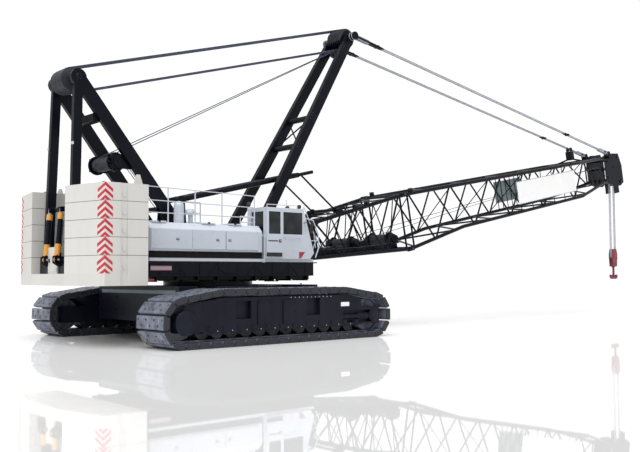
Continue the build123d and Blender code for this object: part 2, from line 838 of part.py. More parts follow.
slab_bottom_z = tray_bottom_z + tray_height
slab_pitch = (weight_top_z - slab_bottom_z) / slab_count
for side, word in ((right, "right"), (left, "left")):
    with BuildPart() as slabs:
        for i in range(slab_count):
            with BuildSketch(Plane.XY.offset(slab_bottom_z + i * slab_pitch)):
                Polygon(
                    (weight_front_x, side * weight_gap_half),
                    (weight_front_x, side * weight_half_width),
                    (weight_corner_x, side * weight_half_width),
                    (weight_rear_x, side * weight_gap_half),
                    align=None,
                )
            extrude(amount=slab_pitch - stack_gap)
        low_y, high_y = sorted((side * (weight_half_width + 1), side * weight_recess_y))
        block(
            (weight_recess_x - weight_recess_length / 2, low_y, slab_bottom_z - 1),
            (weight_recess_x + weight_recess_length / 2, high_y, weight_top_z + 1),
            mode=Mode.SUBTRACT,
        )
        low_y, high_y = sorted((side * (weight_recess_y - 1), side * weight_half_width))
        for i in range(slab_count):
            eye_z = slab_bottom_z + (i + 0.25) * slab_pitch
            block(
                (weight_recess_x - weight_eye_height / 3, low_y, eye_z),
                (weight_recess_x + weight_eye_height / 3, high_y, eye_z + weight_eye_height),
            )
        side_plate(
            (
                (weight_bracket_x - weight_bracket_height / 2, weight_top_z - 1),
                (weight_bracket_x + weight_bracket_height / 2, weight_top_z - 1),
                (weight_bracket_x + weight_bracket_height / 6, weight_top_z + weight_bracket_height),
                (weight_bracket_x - weight_bracket_height / 6, weight_top_z + weight_bracket_height),
            ),
            side * weight_bracket_y - winch_plate / 2,
            side * weight_bracket_y + winch_plate / 2,
        )
    save(slabs, f"counterweight_slabs_{word}")

rear_box_half = 300.0
rear_box_length = 40.0
rear_box_height = 740.0
with BuildPart() as rear_box:
    block(
        (bed_rear_x - rear_box_length, -rear_box_half, slab_bottom_z),
        (bed_rear_x, rear_box_half, slab_bottom_z + rear_box_height),
    )
save(rear_box, "rear_service_box")

# Gantry
def leg(low, high, depth, width):
    """A square box leg between two points, in the part being built."""
    start, end = Vector(low), Vector(high)
    with BuildSketch(Plane(origin=start, x_dir=Vector(0, 1, 0), z_dir=end - start)) as section:
        Rectangle(width, depth)
    extrude(section.sketch, amount=(end - start).length)


winch_half = 640.0
with BuildPart() as gantry:
    for side in (right, left):
        for foot_x, depth in (
            (gantry_front_foot_x, gantry_leg_depth),
            (gantry_rear_foot_x, gantry_back_leg_depth),
        ):
            leg(
                (foot_x, side * gantry_foot_half, bed_top_z + gantry_foot_rise),
                (gantry_head_x, side * gantry_head_half, gantry_head_z),
                depth,
                gantry_leg_width,
            )
            low_y = side * gantry_foot_half - gantry_leg_width / 2
            block(
                (foot_x - depth / 2, low_y, bed_top_z),
                (foot_x + depth / 2, low_y + gantry_leg_width, bed_top_z + gantry_lug_height),
            )
        low_y, high_y = sorted(
            (
                side * (gantry_head_half - gantry_leg_width / 2 - 1),
                side * (gantry_head_half + gantry_leg_width / 2 + 1),
            )
        )
        cross_rod(gantry_head_x, gantry_head_z, low_y, high_y, gantry_knuckle_radius)
        low_y, high_y = sorted((side * (winch_half + 1), side * (gantry_head_half + winch_plate / 2)))
        block(
            (winch_x - winch_drum_radius, low_y, winch_z - winch_drum_radius),
            (winch_x + winch_plate_length, high_y, winch_z + winch_plate_rise),
        )
    cross_rod(gantry_head_x, gantry_head_z, -gantry_head_half, gantry_head_half, gantry_shaft_radius)
    for share in gantry_tie_shares:
        x = gantry_head_x + share * (gantry_front_foot_x - gantry_head_x)
        z = gantry_head_z + share * (bed_top_z + gantry_foot_rise - gantry_head_z)
        half = gantry_head_half + share * (gantry_foot_half - gantry_head_half)
        cross_rod(x, z, -half, half, gantry_tie_radius)
    cross_rod(winch_x, winch_z, -winch_half - 2, winch_half + 2, gantry_tie_radius)
    drum_half = winch_half - winch_flange_thickness
    cross_rod(winch_x, winch_z, -drum_half, drum_half, winch_drum_radius)
    for side in (right, left):
        low_y, high_y = sorted((side * (drum_half - winch_flange_thickness), side * drum_half))
        cross_rod(winch_x, winch_z, low_y, high_y, winch_flange_radius)
save(gantry, "gantry_frame")

with BuildPart() as gantry_sheaves:
    for y in luffing_ys:
        low_y, high_y = y - luffing_sheave_half, y + luffing_sheave_half
        cross_rod(gantry_head_x, gantry_head_z, low_y, high_y, gantry_sheave_radius)
        bore_radius = gantry_shaft_radius + pin_fit
        cross_rod(gantry_head_x, gantry_head_z, low_y - 1, high_y + 1, bore_radius, mode=Mode.SUBTRACT)
save(gantry_sheaves, "gantry_sheaves")

# Live mast
mast_beam_shares = (0.44, 0.578)
with BuildPart() as mast:
    for side in (right, left):
        leg(
            in_mast(mast_eye_length, 0, side * mast_foot_half),
            in_mast(mast_length, 0, side * mast_head_half),
            mast_leg_depth,
            mast_leg_width,
        )
        low_y = side * mast_foot_half - mast_eye_thickness / 2
        high_y = side * mast_foot_half + mast_eye_thickness / 2
        with BuildSketch(mast_plane.offset(-high_y)):
            SlotCenterPoint((mast_eye_length / 2, 0), (0, 0), 2 * mast_eye_radius)
            Circle(mast_pin_radius + pin_fit, mode=Mode.SUBTRACT)
        extrude(amount=high_y - low_y)
    beam_ends = []
    for share in mast_beam_shares:
        half = mast_foot_half + share * (mast_head_half - mast_foot_half)
        rod(in_mast(share * mast_length, 0, -half), in_mast(share * mast_length, 0, half), mast_beam_radius)
        beam_ends.append((share * mast_length, half))
    (low_s, low_half), (high_s, high_half) = beam_ends
    for side in (right, left):
        rod(in_mast(low_s, 0, -side * low_half), in_mast(high_s, 0, side * high_half), mast_brace_radius)
    for i in range(len(luffing_ys) + 1):
        y = luffing_ys[0] + (i - 0.5) * (luffing_ys[1] - luffing_ys[0])
        side_plate(
            (
                (mast_length - 420, -230),
                (mast_length + 160, -230),
                (mast_length + 250, -140),
                (mast_length + 250, 140),
                (mast_length + 160, 230),
                (mast_length - 420, 230),
            ),
            y - head_fin_thickness / 2,
            y + head_fin_thickness / 2,
            plane=mast_plane,
        )
    head_reach = pendant_mast_half + pendant_spacing
    cross_rod(mast_head_x, mast_head_z, -head_reach, head_reach, head_shaft_radius)
save(mast, "live_mast")

with BuildPart() as mast_sheaves:
    for y in luffing_ys:
        cross_rod(mast_head_x, mast_head_z, y - 40, y + 40, mast_sheave_radius)
        cross_rod(mast_head_x, mast_head_z, y - 41, y + 41, head_shaft_radius + pin_fit, mode=Mode.SUBTRACT)
save(mast_sheaves, "mast_sheaves")

# Mast foot lugs stand on the bed
mast_lug_thickness = 50.0
with BuildPart() as mast_feet:
    for side in (right, left):
        for cheek in (-1, 1):
            low_y, high_y = sorted(
                side * mast_foot_half + cheek * (mast_eye_thickness / 2 + pin_fit + reach)
                for reach in (0, mast_lug_thickness)
            )
            side_plate(
                (
                    (mast_foot_x - 300, bed_top_z),
                    (mast_foot_x + 300, bed_top_z),
                    (mast_foot_x + 120, mast_foot_z + 120),
                    (mast_foot_x - 120, mast_foot_z + 120),
                ),
                low_y,
                high_y,
            )
        reach = mast_eye_thickness / 2 + pin_fit + mast_lug_thickness
        middle = side * mast_foot_half
        cross_rod(mast_foot_x, mast_foot_z, middle - reach, middle + reach, mast_pin_radius)
save(mast_feet, "mast_foot_lugs")

# Boom
butt_start = 750.0
joint_half_gap = 60.0
keel_bend = 8700.0
top_bend = 17500.0
head_start = 20650.0
collar_radius = 92.0
collar_depth = 90.0
collar_reach = 20.0
# s, half width, top t, bottom t
butt_stations = ((butt_start, 780.0, 600.0, -520.0), (butt_length - joint_half_gap, 1030.0, 1000.0, -1030.0))
top_stations = (
    (butt_length + joint_half_gap, 1030.0, 1000.0, -1030.0),
    (keel_bend, 1030.0, 970.0, -700.0),
    (top_bend, 1030.0, 870.0, -680.0),
    (head_start, 470.0, 800.0, -330.0),
)


def station_at(stations, s):
    """The half width, top and bottom of a lattice section at a distance."""
    for near, far in zip(stations, stations[1:]):
        if s <= far[0] + 1e-6:
            share = (s - near[0]) / (far[0] - near[0])
            return [near[i] + share * (far[i] - near[i]) for i in (1, 2, 3)]
    return stations[-1][1:]


def lattice(stations, bays, lacing_start):
    """Four chords with zigzag lacing on all four faces, each tube a solid of its own."""
    start, end = stations[0][0], stations[-1][0]
    corners = ((1, 0), (-1, 0), (-1, 1), (1, 1))

    def corner(s, which):
        half, top, bottom = station_at(stations, s)
        across, low = corners[which]
        return in_boom(s, bottom if low else top, across * half)

    first = lacing_start + lace_radius
    last = end - collar_depth - lace_end_gap - lace_radius
    for which in range(4):
        other = (which + 1) % 4
        for s in (first, last):
            rod(corner(s, which), corner(s, other), lace_radius)
        near_s, far_s = first + lace_radius, last - lace_radius
        for bay in range(bays):
            s0 = near_s + (far_s - near_s) * bay / bays + lace_node_half
            s1 = near_s + (far_s - near_s) * (bay + 1) / bays - lace_node_half
            ends = (which, other) if bay % 2 == 0 else (other, which)
            rod(corner(s0, ends[0]), corner(s1, ends[1]), lace_radius)
    for near, far in zip(stations, stations[1:]):
        for which in range(4):
            rod(corner(near[0], which), corner(far[0], which), chord_radius + seat_gap, mode=Mode.SUBTRACT)
    for near, far in zip(stations, stations[1:]):
        for which in range(4):
            rod(corner(near[0], which), corner(far[0], which), chord_radius)
    for s, way in ((start, -1), (end, 1)):
        for which in range(4):
            across, low = corners[which]
            half, top, bottom = station_at(stations, s)
            level = bottom if low else top
            inner, outer = sorted((s - way * collar_depth, s + way * collar_reach))
            rod(in_boom(inner, level, across * half), in_boom(outer, level, across * half), collar_radius)
    for near, knee, far in zip(stations, stations[1:], stations[2:]):
        for which in range(4):
            point = corner(knee[0], which)
            before = (point - corner(near[0], which)).normalized()
            after = (corner(far[0], which) - point).normalized()
            with Locations(Plane(origin=point, z_dir=before + after)):
                Sphere(chord_radius)
                Cylinder(2 * chord_radius, seat_gap, mode=Mode.SUBTRACT)


with BuildPart() as butt:
    lattice(butt_stations, 4, butt_start + foot_plate_length + lace_end_gap)
    for side in (right, left):
        low_y, high_y = sorted((side * (boom_foot_half - boom_foot_thickness), side * boom_foot_half))
        side_plate(
            (
                (0, 160),
                (butt_start, 640),
                (butt_start + foot_plate_length, 640),
                (butt_start + foot_plate_length, -560),
                (butt_start, -560),
                (0, -160),
            ),
            low_y,
            high_y,
            plane=boom_plane,
        )
        with BuildSketch(boom_plane.offset(-high_y)):
            Circle(160)
        extrude(amount=high_y - low_y)
        with BuildSketch(boom_plane.offset(-high_y)):
            Circle(boom_pin_radius + pin_fit)
        extrude(amount=high_y - low_y, mode=Mode.SUBTRACT)
save(butt, "boom_butt")

half, top, bottom = station_at(butt_stations, strut_foot_s)
beam_t = top + strut_seat_height
post_ends = (strut_foot_s - 3 * strut_beam_radius, strut_foot_s + 3 * strut_beam_radius)
post_seats = [(s, station_at(butt_stations, s)[1] + chord_radius + seat_gap) for s in post_ends]
with BuildPart() as strut_beam:
    rod(in_boom(strut_foot_s, beam_t, -half), in_boom(strut_foot_s, beam_t, half), strut_beam_radius)
    for side in (right, left):
        side_plate(
            (
                *post_seats,
                (strut_foot_s + strut_beam_radius, beam_t + strut_post_half),
                (strut_foot_s - strut_beam_radius, beam_t + strut_post_half),
            ),
            side * half - strut_post_half,
            side * half + strut_post_half,
            plane=boom_plane,
        )
save(strut_beam, "backstop_strut_beam")

with BuildPart() as top_section:
    lattice(top_stations, 12, top_stations[0][0] + collar_depth + lace_end_gap)
save(top_section, "boom_top_section")

with BuildPart() as connectors:
    for across in (-1, 1):
        for t in (butt_stations[-1][2], butt_stations[-1][3]):
            rod(
                in_boom(butt_length - joint_half_gap + collar_reach, t, across * boom_half_width),
                in_boom(butt_length + joint_half_gap - collar_reach, t, across * boom_half_width),
                chord_radius,
            )
save(connectors, "boom_joint_pins")

# Boom head
head_half = 470.0
head_plate = 45.0
guard_half = 215.0
guard_length = 420.0
guard_depth = 560.0
head_outline = (
    (head_start + collar_reach, 900),
    (21150, 1000),
    (22000, 920),
    (22220, 300),
    (22220, -560),
    (21900, -700),
    (21300, -640),
    (head_start + collar_reach, -420),
)
with BuildPart() as head:
    for side in (right, left):
        low_y, high_y = sorted((side * head_half, side * (head_half + head_plate)))
        side_plate(head_outline, low_y, high_y, plane=boom_plane)
        low_y, high_y = sorted((side * guard_half, side * (guard_half + head_plate)))
        side_plate(
            (
                (head_sheave_s - guard_length / 2, head_sheave_t - guard_depth),
                (head_sheave_s + guard_length / 2, head_sheave_t - guard_depth),
                (head_sheave_s + guard_length / 2, head_sheave_t + guard_length / 2),
                (head_sheave_s - guard_length / 2, head_sheave_t + guard_length / 2),
            ),
            low_y,
            high_y,
            plane=boom_plane,
        )
    for s, t in ((head_sheave_s, head_sheave_t), (pendant_lug_s + 250, 820), (21650, 650)):
        with BuildSketch(boom_plane.offset(-head_half)):
            with Locations((s, t)):
                Circle(70)
        extrude(amount=2 * head_half)
    with BuildSketch(boom_plane):
        with Locations((jib_bore_s, jib_bore_t)):
            Circle(jib_bore_radius)
    extrude(amount=head_half + head_plate, both=True, mode=Mode.SUBTRACT)
    beam_half = pendant_boom_half + pendant_spacing + 20
    beam = in_boom(pendant_lug_s + 130, pendant_lug_t - 230)
    cross_rod(beam.X, beam.Z, -beam_half, beam_half, 60)
    for side in (right, left):
        for offset in (-pendant_spacing, 0, pendant_spacing):
            y = side * pendant_boom_half + offset
            side_plate(
                (
                    (pendant_lug_s - 20, pendant_lug_t - 280),
                    (pendant_lug_s + 260, pendant_lug_t - 280),
                    (pendant_lug_s + 80, pendant_lug_t + 80),
                    (pendant_lug_s - 80, pendant_lug_t + 80),
                ),
                y - 12,
                y + 12,
                plane=boom_plane,
            )
save(head, "boom_head")

sheave_point = in_boom(head_sheave_s, head_sheave_t)
head_sheave_radius = hook_fall_half - hoist_rope_radius - seat_gap
with BuildPart() as head_sheaves:
    for y in (-160, 0, 160):
        cross_rod(sheave_point.X, sheave_point.Z, y - 38, y + 38, head_sheave_radius)
        cross_rod(sheave_point.X, sheave_point.Z, y - 39, y + 39, 70 + pin_fit, mode=Mode.SUBTRACT)
save(head_sheaves, "boom_head_sheaves")

# Pendants from the mast head to the boom head
lug_point = in_boom(pendant_lug_s, pendant_lug_t)
pendant_fall = degrees(atan2(lug_point.Z - mast_head_z, lug_point.X - mast_head_x))
pendant_length = hypot(lug_point.Z - mast_head_z, lug_point.X - mast_head_x)
pendant_plane = Plane(
    origin=(mast_head_x, 0, mast_head_z),
    x_dir=(cos(radians(pendant_fall)), 0, sin(radians(pendant_fall))),
    z_dir=(0, -1, 0),
)
link_length = 700.0
link_half_height = 70.0
link_plate = 36.0
with BuildPart() as pendants:
    for side in (right, left):
        for offset in (-pendant_spacing / 2, pendant_spacing / 2):
            near_y = side * pendant_mast_half + offset
            far_y = side * pendant_boom_half + offset
            for y, low_s, high_s in (
                (near_y, 0, link_length),
                (far_y, pendant_length - link_length, pendant_length),
            ):
                with BuildSketch(pendant_plane.offset(-y)):
                    with Locations(((low_s + high_s) / 2, 0)):
                        SlotCenterToCenter(high_s - low_s, 2 * link_half_height)
                    if low_s == 0:
                        Circle(head_shaft_radius + 60)
                        Circle(head_shaft_radius + pin_fit, mode=Mode.SUBTRACT)
                extrude(amount=link_plate / 2, both=True)
            rod(
                pendant_plane.from_local_coords(Vector(link_length - 60, 0, -near_y)),
                pendant_plane.from_local_coords(Vector(pendant_length - link_length + 60, 0, -far_y)),
                pendant_rope_radius,
            )
save(pendants, "pendants")

# Backstops
strut_top_x = backstop_foot_x + strut_top_share * (backstop_end_x - backstop_foot_x)
strut_top_z = backstop_foot_z + strut_top_share * (backstop_end_z - backstop_foot_z)
tube_way = Vector(backstop_end_x - backstop_foot_x, 0, backstop_end_z - backstop_foot_z).normalized()
with BuildPart() as tubes:
    for side in (right, left):
        y = side * backstop_half
        low_y, high_y = y - backstop_eye_half, y + backstop_eye_half
        foot = Vector(backstop_foot_x, y, backstop_foot_z)
        top = Vector(strut_top_x, y, strut_top_z)
        rod(foot + tube_way * backstop_pin_radius, top, backstop_tube_radius)
        cross_rod(backstop_foot_x, backstop_foot_z, low_y, high_y, backstop_eye_radius)
        bore_start = foot + tube_way * backstop_tube_start
        rod(bore_start, top + tube_way, backstop_rod_radius + 1, mode=Mode.SUBTRACT)
        cross_rod(
            backstop_foot_x,
            backstop_foot_z,
            y - backstop_tube_radius,
            y + backstop_tube_radius,
            backstop_pin_radius + pin_fit,
            mode=Mode.SUBTRACT,
        )
save(tubes, "backstop_tubes")

with BuildPart() as brackets:
    for side in (right, left):
        for cheek in (-1, 1):
            low_y, high_y = sorted(
                side * backstop_half + cheek * (backstop_tube_radius + pin_fit + reach) for reach in (0, 30)
            )
            side_plate(
                (
                    (backstop_foot_x - 260, bed_top_z),
                    (backstop_foot_x + 260, bed_top_z),
                    (backstop_foot_x + 100, backstop_foot_z + 100),
                    (backstop_foot_x - 100, backstop_foot_z + 100),
                ),
                low_y,
                high_y,
            )
        reach = backstop_tube_radius + pin_fit + 30
        cross_rod(
            backstop_foot_x,
            backstop_foot_z,
            side * backstop_half - reach,
            side * backstop_half + reach,
            backstop_pin_radius,
        )
save(brackets, "backstop_brackets")

with BuildPart() as rods:
    for side in (right, left):
        y = side * backstop_half
        middle_x = (backstop_foot_x + backstop_end_x) / 2
        middle_z = (backstop_foot_z + backstop_end_z) / 2
        rod((middle_x, y, middle_z), (backstop_end_x, y, backstop_end_z), backstop_rod_radius)
save(rods, "backstop_rods")

strut_foot = in_boom(strut_foot_s, station_at(butt_stations, strut_foot_s)[1] + strut_seat_height)
strut_way = (Vector(strut_top_x, 0, strut_top_z) - strut_foot).normalized()
with BuildPart() as struts:
    for side in (right, left):
        y = side * (backstop_half + backstop_tube_radius + strut_radius + 10)
        across = Vector(0, y, 0)
        low_y, high_y = y - strut_eye_half, y + strut_eye_half
        cross_rod(strut_foot.X, strut_foot.Z, low_y, high_y, strut_beam_radius + strut_eye_wall)
        bore_radius = strut_beam_radius + seat_gap
        cross_rod(strut_foot.X, strut_foot.Z, low_y - 1, high_y + 1, bore_radius, mode=Mode.SUBTRACT)
        rod(
            strut_foot + strut_way * (strut_beam_radius + 20) + across,
            Vector(strut_top_x, y, strut_top_z),
            strut_radius,
        )
save(struts, "backstop_struts")

# Ropes and hook
with BuildPart() as luffing_ropes:
    lean = atan2(mast_head_z - gantry_head_z, mast_head_x - gantry_head_x)
    offset = mast_sheave_radius + hoist_rope_radius + seat_gap
    for y in luffing_ys:
        for rise in (-offset, offset):
            rod(
                (gantry_head_x - rise * sin(lean), y, gantry_head_z + rise * cos(lean)),
                (mast_head_x - rise * sin(lean), y, mast_head_z + rise * cos(lean)),
                hoist_rope_radius,
            )
save(luffing_ropes, "boom_hoist_ropes")

hook_x = sheave_point.X
hook_axle_z = hook_block_top_z - 330
with BuildPart() as falls:
    for end in (-1, 1):
        x = hook_x + end * hook_fall_half
        rod((x, 0, hook_axle_z), (x, 0, sheave_point.Z), hoist_rope_radius)
save(falls, "hoist_falls")

with BuildPart() as hook_block:
    for side in (-1, 1):
        side_plate(
            (
                (hook_x - 160, hook_block_bottom_z),
                (hook_x + 160, hook_block_bottom_z),
                (hook_x + 215, hook_axle_z - 120),
                (hook_x + 215, hook_axle_z + 80),
                (hook_x + 130, hook_block_top_z),
                (hook_x - 130, hook_block_top_z),
                (hook_x - 215, hook_axle_z + 80),
                (hook_x - 215, hook_axle_z - 120),
            ),
            side * 90 - 25,
            side * 90 + 25,
        )
    cross_rod(hook_x, hook_axle_z, -90, 90, 50)
    cross_rod(hook_x, hook_axle_z, -50, 50, head_sheave_radius)
    block((hook_x - 150, -120, hook_block_bottom_z), (hook_x + 150, 120, hook_block_bottom_z + 160))
save(hook_block, "hook_block")

with BuildPart() as hook:
    rod((hook_x, 0, hook_bottom_z + 100), (hook_x, 0, hook_block_bottom_z - seat_gap), 55)
    for side in (-1, 1):
        with BuildSketch(Plane.XZ.offset(-55)):
            with Locations((hook_x + side * 135, hook_bottom_z + 165)):
                Circle(165)
                Circle(75, mode=Mode.SUBTRACT)
                with Locations((0, 180)):
                    Rectangle(420, 260, mode=Mode.SUBTRACT)
        extrude(amount=110)
save(hook, "hook")
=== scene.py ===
"""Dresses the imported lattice-boom crawler crane and sets its stage, in metres, in the part's own frame.

+X is forward, -Y is the operator's side and +Z is up. The origin is on the ground under the slewing axis.
"""

from __future__ import annotations

import json
import logging
import math
from dataclasses import dataclass
from enum import Enum
from typing import Any, Sequence, Union

import bmesh
import bpy
from mathutils import Matrix, Vector

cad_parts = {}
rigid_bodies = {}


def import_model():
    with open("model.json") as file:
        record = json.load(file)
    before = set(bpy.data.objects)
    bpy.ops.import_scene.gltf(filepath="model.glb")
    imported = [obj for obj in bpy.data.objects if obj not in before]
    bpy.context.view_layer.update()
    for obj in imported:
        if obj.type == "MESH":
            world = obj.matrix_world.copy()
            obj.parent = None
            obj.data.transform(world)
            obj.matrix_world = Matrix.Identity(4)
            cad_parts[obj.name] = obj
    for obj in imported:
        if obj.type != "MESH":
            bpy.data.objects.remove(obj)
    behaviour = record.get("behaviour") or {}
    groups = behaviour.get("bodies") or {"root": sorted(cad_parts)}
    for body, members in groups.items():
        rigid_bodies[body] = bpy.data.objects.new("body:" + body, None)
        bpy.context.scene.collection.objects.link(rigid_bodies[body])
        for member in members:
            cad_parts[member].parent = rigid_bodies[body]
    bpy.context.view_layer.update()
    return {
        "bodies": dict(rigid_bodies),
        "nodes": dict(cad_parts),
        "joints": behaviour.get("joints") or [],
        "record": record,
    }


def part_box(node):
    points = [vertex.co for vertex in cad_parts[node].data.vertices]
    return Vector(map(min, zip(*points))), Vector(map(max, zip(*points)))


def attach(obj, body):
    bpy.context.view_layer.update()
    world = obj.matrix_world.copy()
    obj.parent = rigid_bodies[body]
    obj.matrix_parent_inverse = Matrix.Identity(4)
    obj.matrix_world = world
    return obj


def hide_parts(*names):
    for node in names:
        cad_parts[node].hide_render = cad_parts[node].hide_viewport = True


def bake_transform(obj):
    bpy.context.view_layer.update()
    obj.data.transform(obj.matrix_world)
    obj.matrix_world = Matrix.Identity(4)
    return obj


LOG = logging.getLogger("crawler_crane")

Colour = tuple[float, float, float]
Point = tuple[float, float, float]
Pair = tuple[float, float]
Place = Union[Point, Vector]
Outline = tuple[Pair, ...]

# The signs of a distance across, the operator's side first
SIGNS: Pair = (-1.0, 1.0)

# Edges between faces that meet at less than this are shaded smooth
SHARP_ANGLE = math.radians(35.0)


class Side(Enum):
    """The two sides of the crane, by the sign of their distance across."""

    RIGHT = -1
    LEFT = 1


class Signal:
    """A shader socket that adds Math nodes when it stands in an expression."""

    def __init__(self, graph: "Graph", socket: bpy.types.NodeSocket) -> None:
        """Wraps one output socket of a graph."""
        self.graph = graph
        self.socket = socket

    def _math(self, operation: str, first: "Number", second: "Number") -> "Signal":
        """Adds one Math node with two values or links."""
        return self.graph.node("ShaderNodeMath", {"operation": operation}, {0: first, 1: second})

    def __add__(self, other: "Number") -> "Signal":
        """The sum."""
        return self._math("ADD", self, other)

    def __radd__(self, other: "Number") -> "Signal":
        """The sum, with a number first."""
        return self._math("ADD", other, self)

    def __sub__(self, other: "Number") -> "Signal":
        """The difference."""
        return self._math("SUBTRACT", self, other)

    def __rsub__(self, other: "Number") -> "Signal":
        """The difference, with a number first."""
        return self._math("SUBTRACT", other, self)

    def __mul__(self, other: "Number") -> "Signal":
        """The product."""
        return self._math("MULTIPLY", self, other)

    def __rmul__(self, other: "Number") -> "Signal":
        """The product, with a number first."""
        return self._math("MULTIPLY", other, self)

    def __mod__(self, other: "Number") -> "Signal":
        """The remainder."""
        return self._math("MODULO", self, other)

    def __abs__(self) -> "Signal":
        """The size without the sign."""
        return self._math("ABSOLUTE", self, 0.0)

    def above(self, limit: "Number") -> "Signal":
        """One where the signal is over a limit, and nought elsewhere."""
        return self._math("GREATER_THAN", self, limit)

    def below(self, limit: "Number") -> "Signal":
        """One where the signal is under a limit, and nought elsewhere."""
        return self._math("LESS_THAN", self, limit)


Number = Union[Signal, float]


class Graph:
    """The node tree of one finish."""

    def __init__(self, name: str) -> None:
        """Makes an empty material.

        Args:
            name: The material's name.
        """
        self.material = bpy.data.materials.new(name)
        self.material.use_nodes = True
        self.tree = self.material.node_tree
        self.tree.nodes.clear()
        self.position = self.node("ShaderNodeTexCoord", {}, {}, "Object")

    def node(self, kind: str, settings: dict[str, Any], inputs: dict[Any, Any], output: Any = 0) -> Signal:
        """Adds one node.

        Args:
            kind: The node's type.
            settings: Its own settings, set before its sockets. A ramp's stops go under "stops".
            inputs: The values or links of its sockets, by name or number.
            output: The name or number of the wanted output.

        Returns:
            The wanted output.
        """
        made = self.tree.nodes.new(kind)
        for key, value in settings.items():
            if key == "stops":
                self._set_stops(made.color_ramp, value)
            else:
                setattr(made, key, value)
        for key, value in inputs.items():
            socket = made.inputs[key]
            if isinstance(value, Signal):
                self.tree.links.new(value.socket, socket)
            elif isinstance(value, tuple) and socket.type == "RGBA":
                socket.default_value = (*value, 1.0)
            else:
                socket.default_value = value
        return Signal(self, made.outputs[output])

    @staticmethod
    def _set_stops(ramp: bpy.types.ColorRamp, stops: Sequence[Pair]) -> None:
        """Gives a ramp its grey stops.

        Args:
            ramp: The ramp.
            stops: Pairs of place and grey level, in order.
        """
        while len(ramp.elements) < len(stops):
            ramp.elements.new(0.5)
        for element, (place, grey) in zip(ramp.elements, stops):
            element.position = place
            element.color = (grey, grey, grey, 1.0)

    def noise(self, scale: float, detail: float = 3.0, stretch: Point = (1.0, 1.0, 1.0)) -> Signal:
        """Grey noise from 0 to 1, by blotches in a metre, finer layers and closeness along each axis."""
        place = self.node("ShaderNodeMapping", {}, {"Vector": self.position, "Scale": stretch}, "Vector")
        return self.node("ShaderNodeTexNoise", {}, {"Vector": place, "Scale": scale, "Detail": detail}, "Fac")

    def ramp(self, level: Signal, *stops: Pair) -> Signal:
        """Maps a level through grey stops, each a pair of place and grey level."""
        return self.node("ShaderNodeValToRGB", {"stops": stops}, {"Fac": level}, "Color")

    def axis(self, name: str) -> Signal:
        """One coordinate in metres, by its letter."""
        return self.node("ShaderNodeSeparateXYZ", {}, {0: self.position}, name)

    def mix(self, share: Number, low: Any, high: Any) -> Signal:
        """A blend of two colours, by the share of the second one that shows."""
        return self.node("ShaderNodeMix", {"data_type": "RGBA"}, {0: share, 6: low, 7: high}, 2)

    def bump(self, height: Signal, depth: float, strength: float = 1.0) -> Signal:
        """A normal that follows a height from 0 to 1, by its depth in metres and how much shows."""
        inputs = {"Height": height, "Distance": depth, "Strength": strength}
        return self.node("ShaderNodeBump", {}, inputs, "Normal")

    def finish(self, **sockets: Any) -> bpy.types.Material:
        """Closes the tree with one Principled shader.

        Args:
            sockets: Values or links of the shader's sockets, with underscores for the spaces.

        Returns:
            The material.
        """
        inputs = {key.replace("_", " "): value for key, value in sockets.items()}
        shader = self.node("ShaderNodeBsdfPrincipled", {}, inputs, "BSDF")
        self.node_output(shader)
        return self.material

    def node_output(self, shader: Signal) -> None:
        """Links a shader to the material's output."""
        output = self.tree.nodes.new("ShaderNodeOutputMaterial")
        self.tree.links.new(shader.socket, output.inputs["Surface"])


@dataclass(frozen=True)
class Paint:
    """Machine paint: a slow drift of colour, dust in blotches and streaks, and a faint orange peel."""

    colour: Colour
    dust: Colour = (0.42, 0.41, 0.39)
    dustiness: float = 0.18
    roughness: float = 0.32
    coat: float = 0.35
    specular: float = 0.5
    drift: float = 0.10

    def material(self, name: str) -> bpy.types.Material:
        """Builds the material.

        Args:
            name: Its name.

        Returns:
            The material.
        """
        graph = Graph(name)
        slow = graph.noise(0.7, 2.0)
        streaks = graph.noise(5.0, 5.0, (1.0, 1.0, 0.22))
        dust = graph.ramp(streaks * 0.55 + slow * 0.45, (0.42, 0.0), (0.72, 1.0)) * self.dustiness
        darker = tuple(level * (1 - 2 * self.drift) for level in self.colour)
        base = graph.mix(slow, darker, self.colour)
        base = graph.mix(dust, base, self.dust)
        peel = graph.noise(90.0, 2.0)
        rough = self.roughness + dust * 0.5 + (graph.noise(3.0, 4.0) - 0.5) * 0.12
        return graph.finish(
            Base_Color=base,
            Roughness=rough,
            Coat_Weight=self.coat,
            Coat_Roughness=0.12,
            Specular_IOR_Level=self.specular,
            Normal=graph.bump(peel, 0.0006, 0.35),
        )


@dataclass(frozen=True)
class HousePaint:
    """White house paint, with painted shade: near black, matte and uncoated below a set height, for the
    shadowed recessed strip along the foot of the wall.
    """

    colour: Colour
    # Colour of the painted shade along the wall's recessed foot, and the height below which it is painted
    recess_shade: Colour
    recess_shade_top: float

    def material(self, name: str) -> bpy.types.Material:
        """Builds the material.

        Args:
            name: Its name.

        Returns:
            The material.
        """
        graph = Graph(name)
        slow = graph.noise(0.6, 2.0)
        streaks = graph.noise(6.0, 5.0, (1.0, 1.0, 0.15))
        grime = graph.ramp(streaks, (0.50, 0.0), (0.80, 1.0)) * 0.16
        base = graph.mix(slow * 0.6, self.colour, tuple(level * 0.90 for level in self.colour))
        base = graph.mix(grime, base, (0.40, 0.40, 0.40))
        # Painted shade: below the set height the wall turns near black, matte and uncoated, for the shadow in
        # its recessed foot
        recess_shade = graph.axis("Z").below(self.recess_shade_top)
        base = graph.mix(recess_shade, base, self.recess_shade)
        peel = graph.noise(80.0, 2.0)
        return graph.finish(
            Base_Color=base,
            Roughness=0.30 + grime + recess_shade * 0.5,
            Coat_Weight=0.2 - recess_shade * 0.2,
            Coat_Roughness=0.1,
            Specular_IOR_Level=0.3,
            Normal=graph.bump(peel, 0.0005, 0.3),
        )


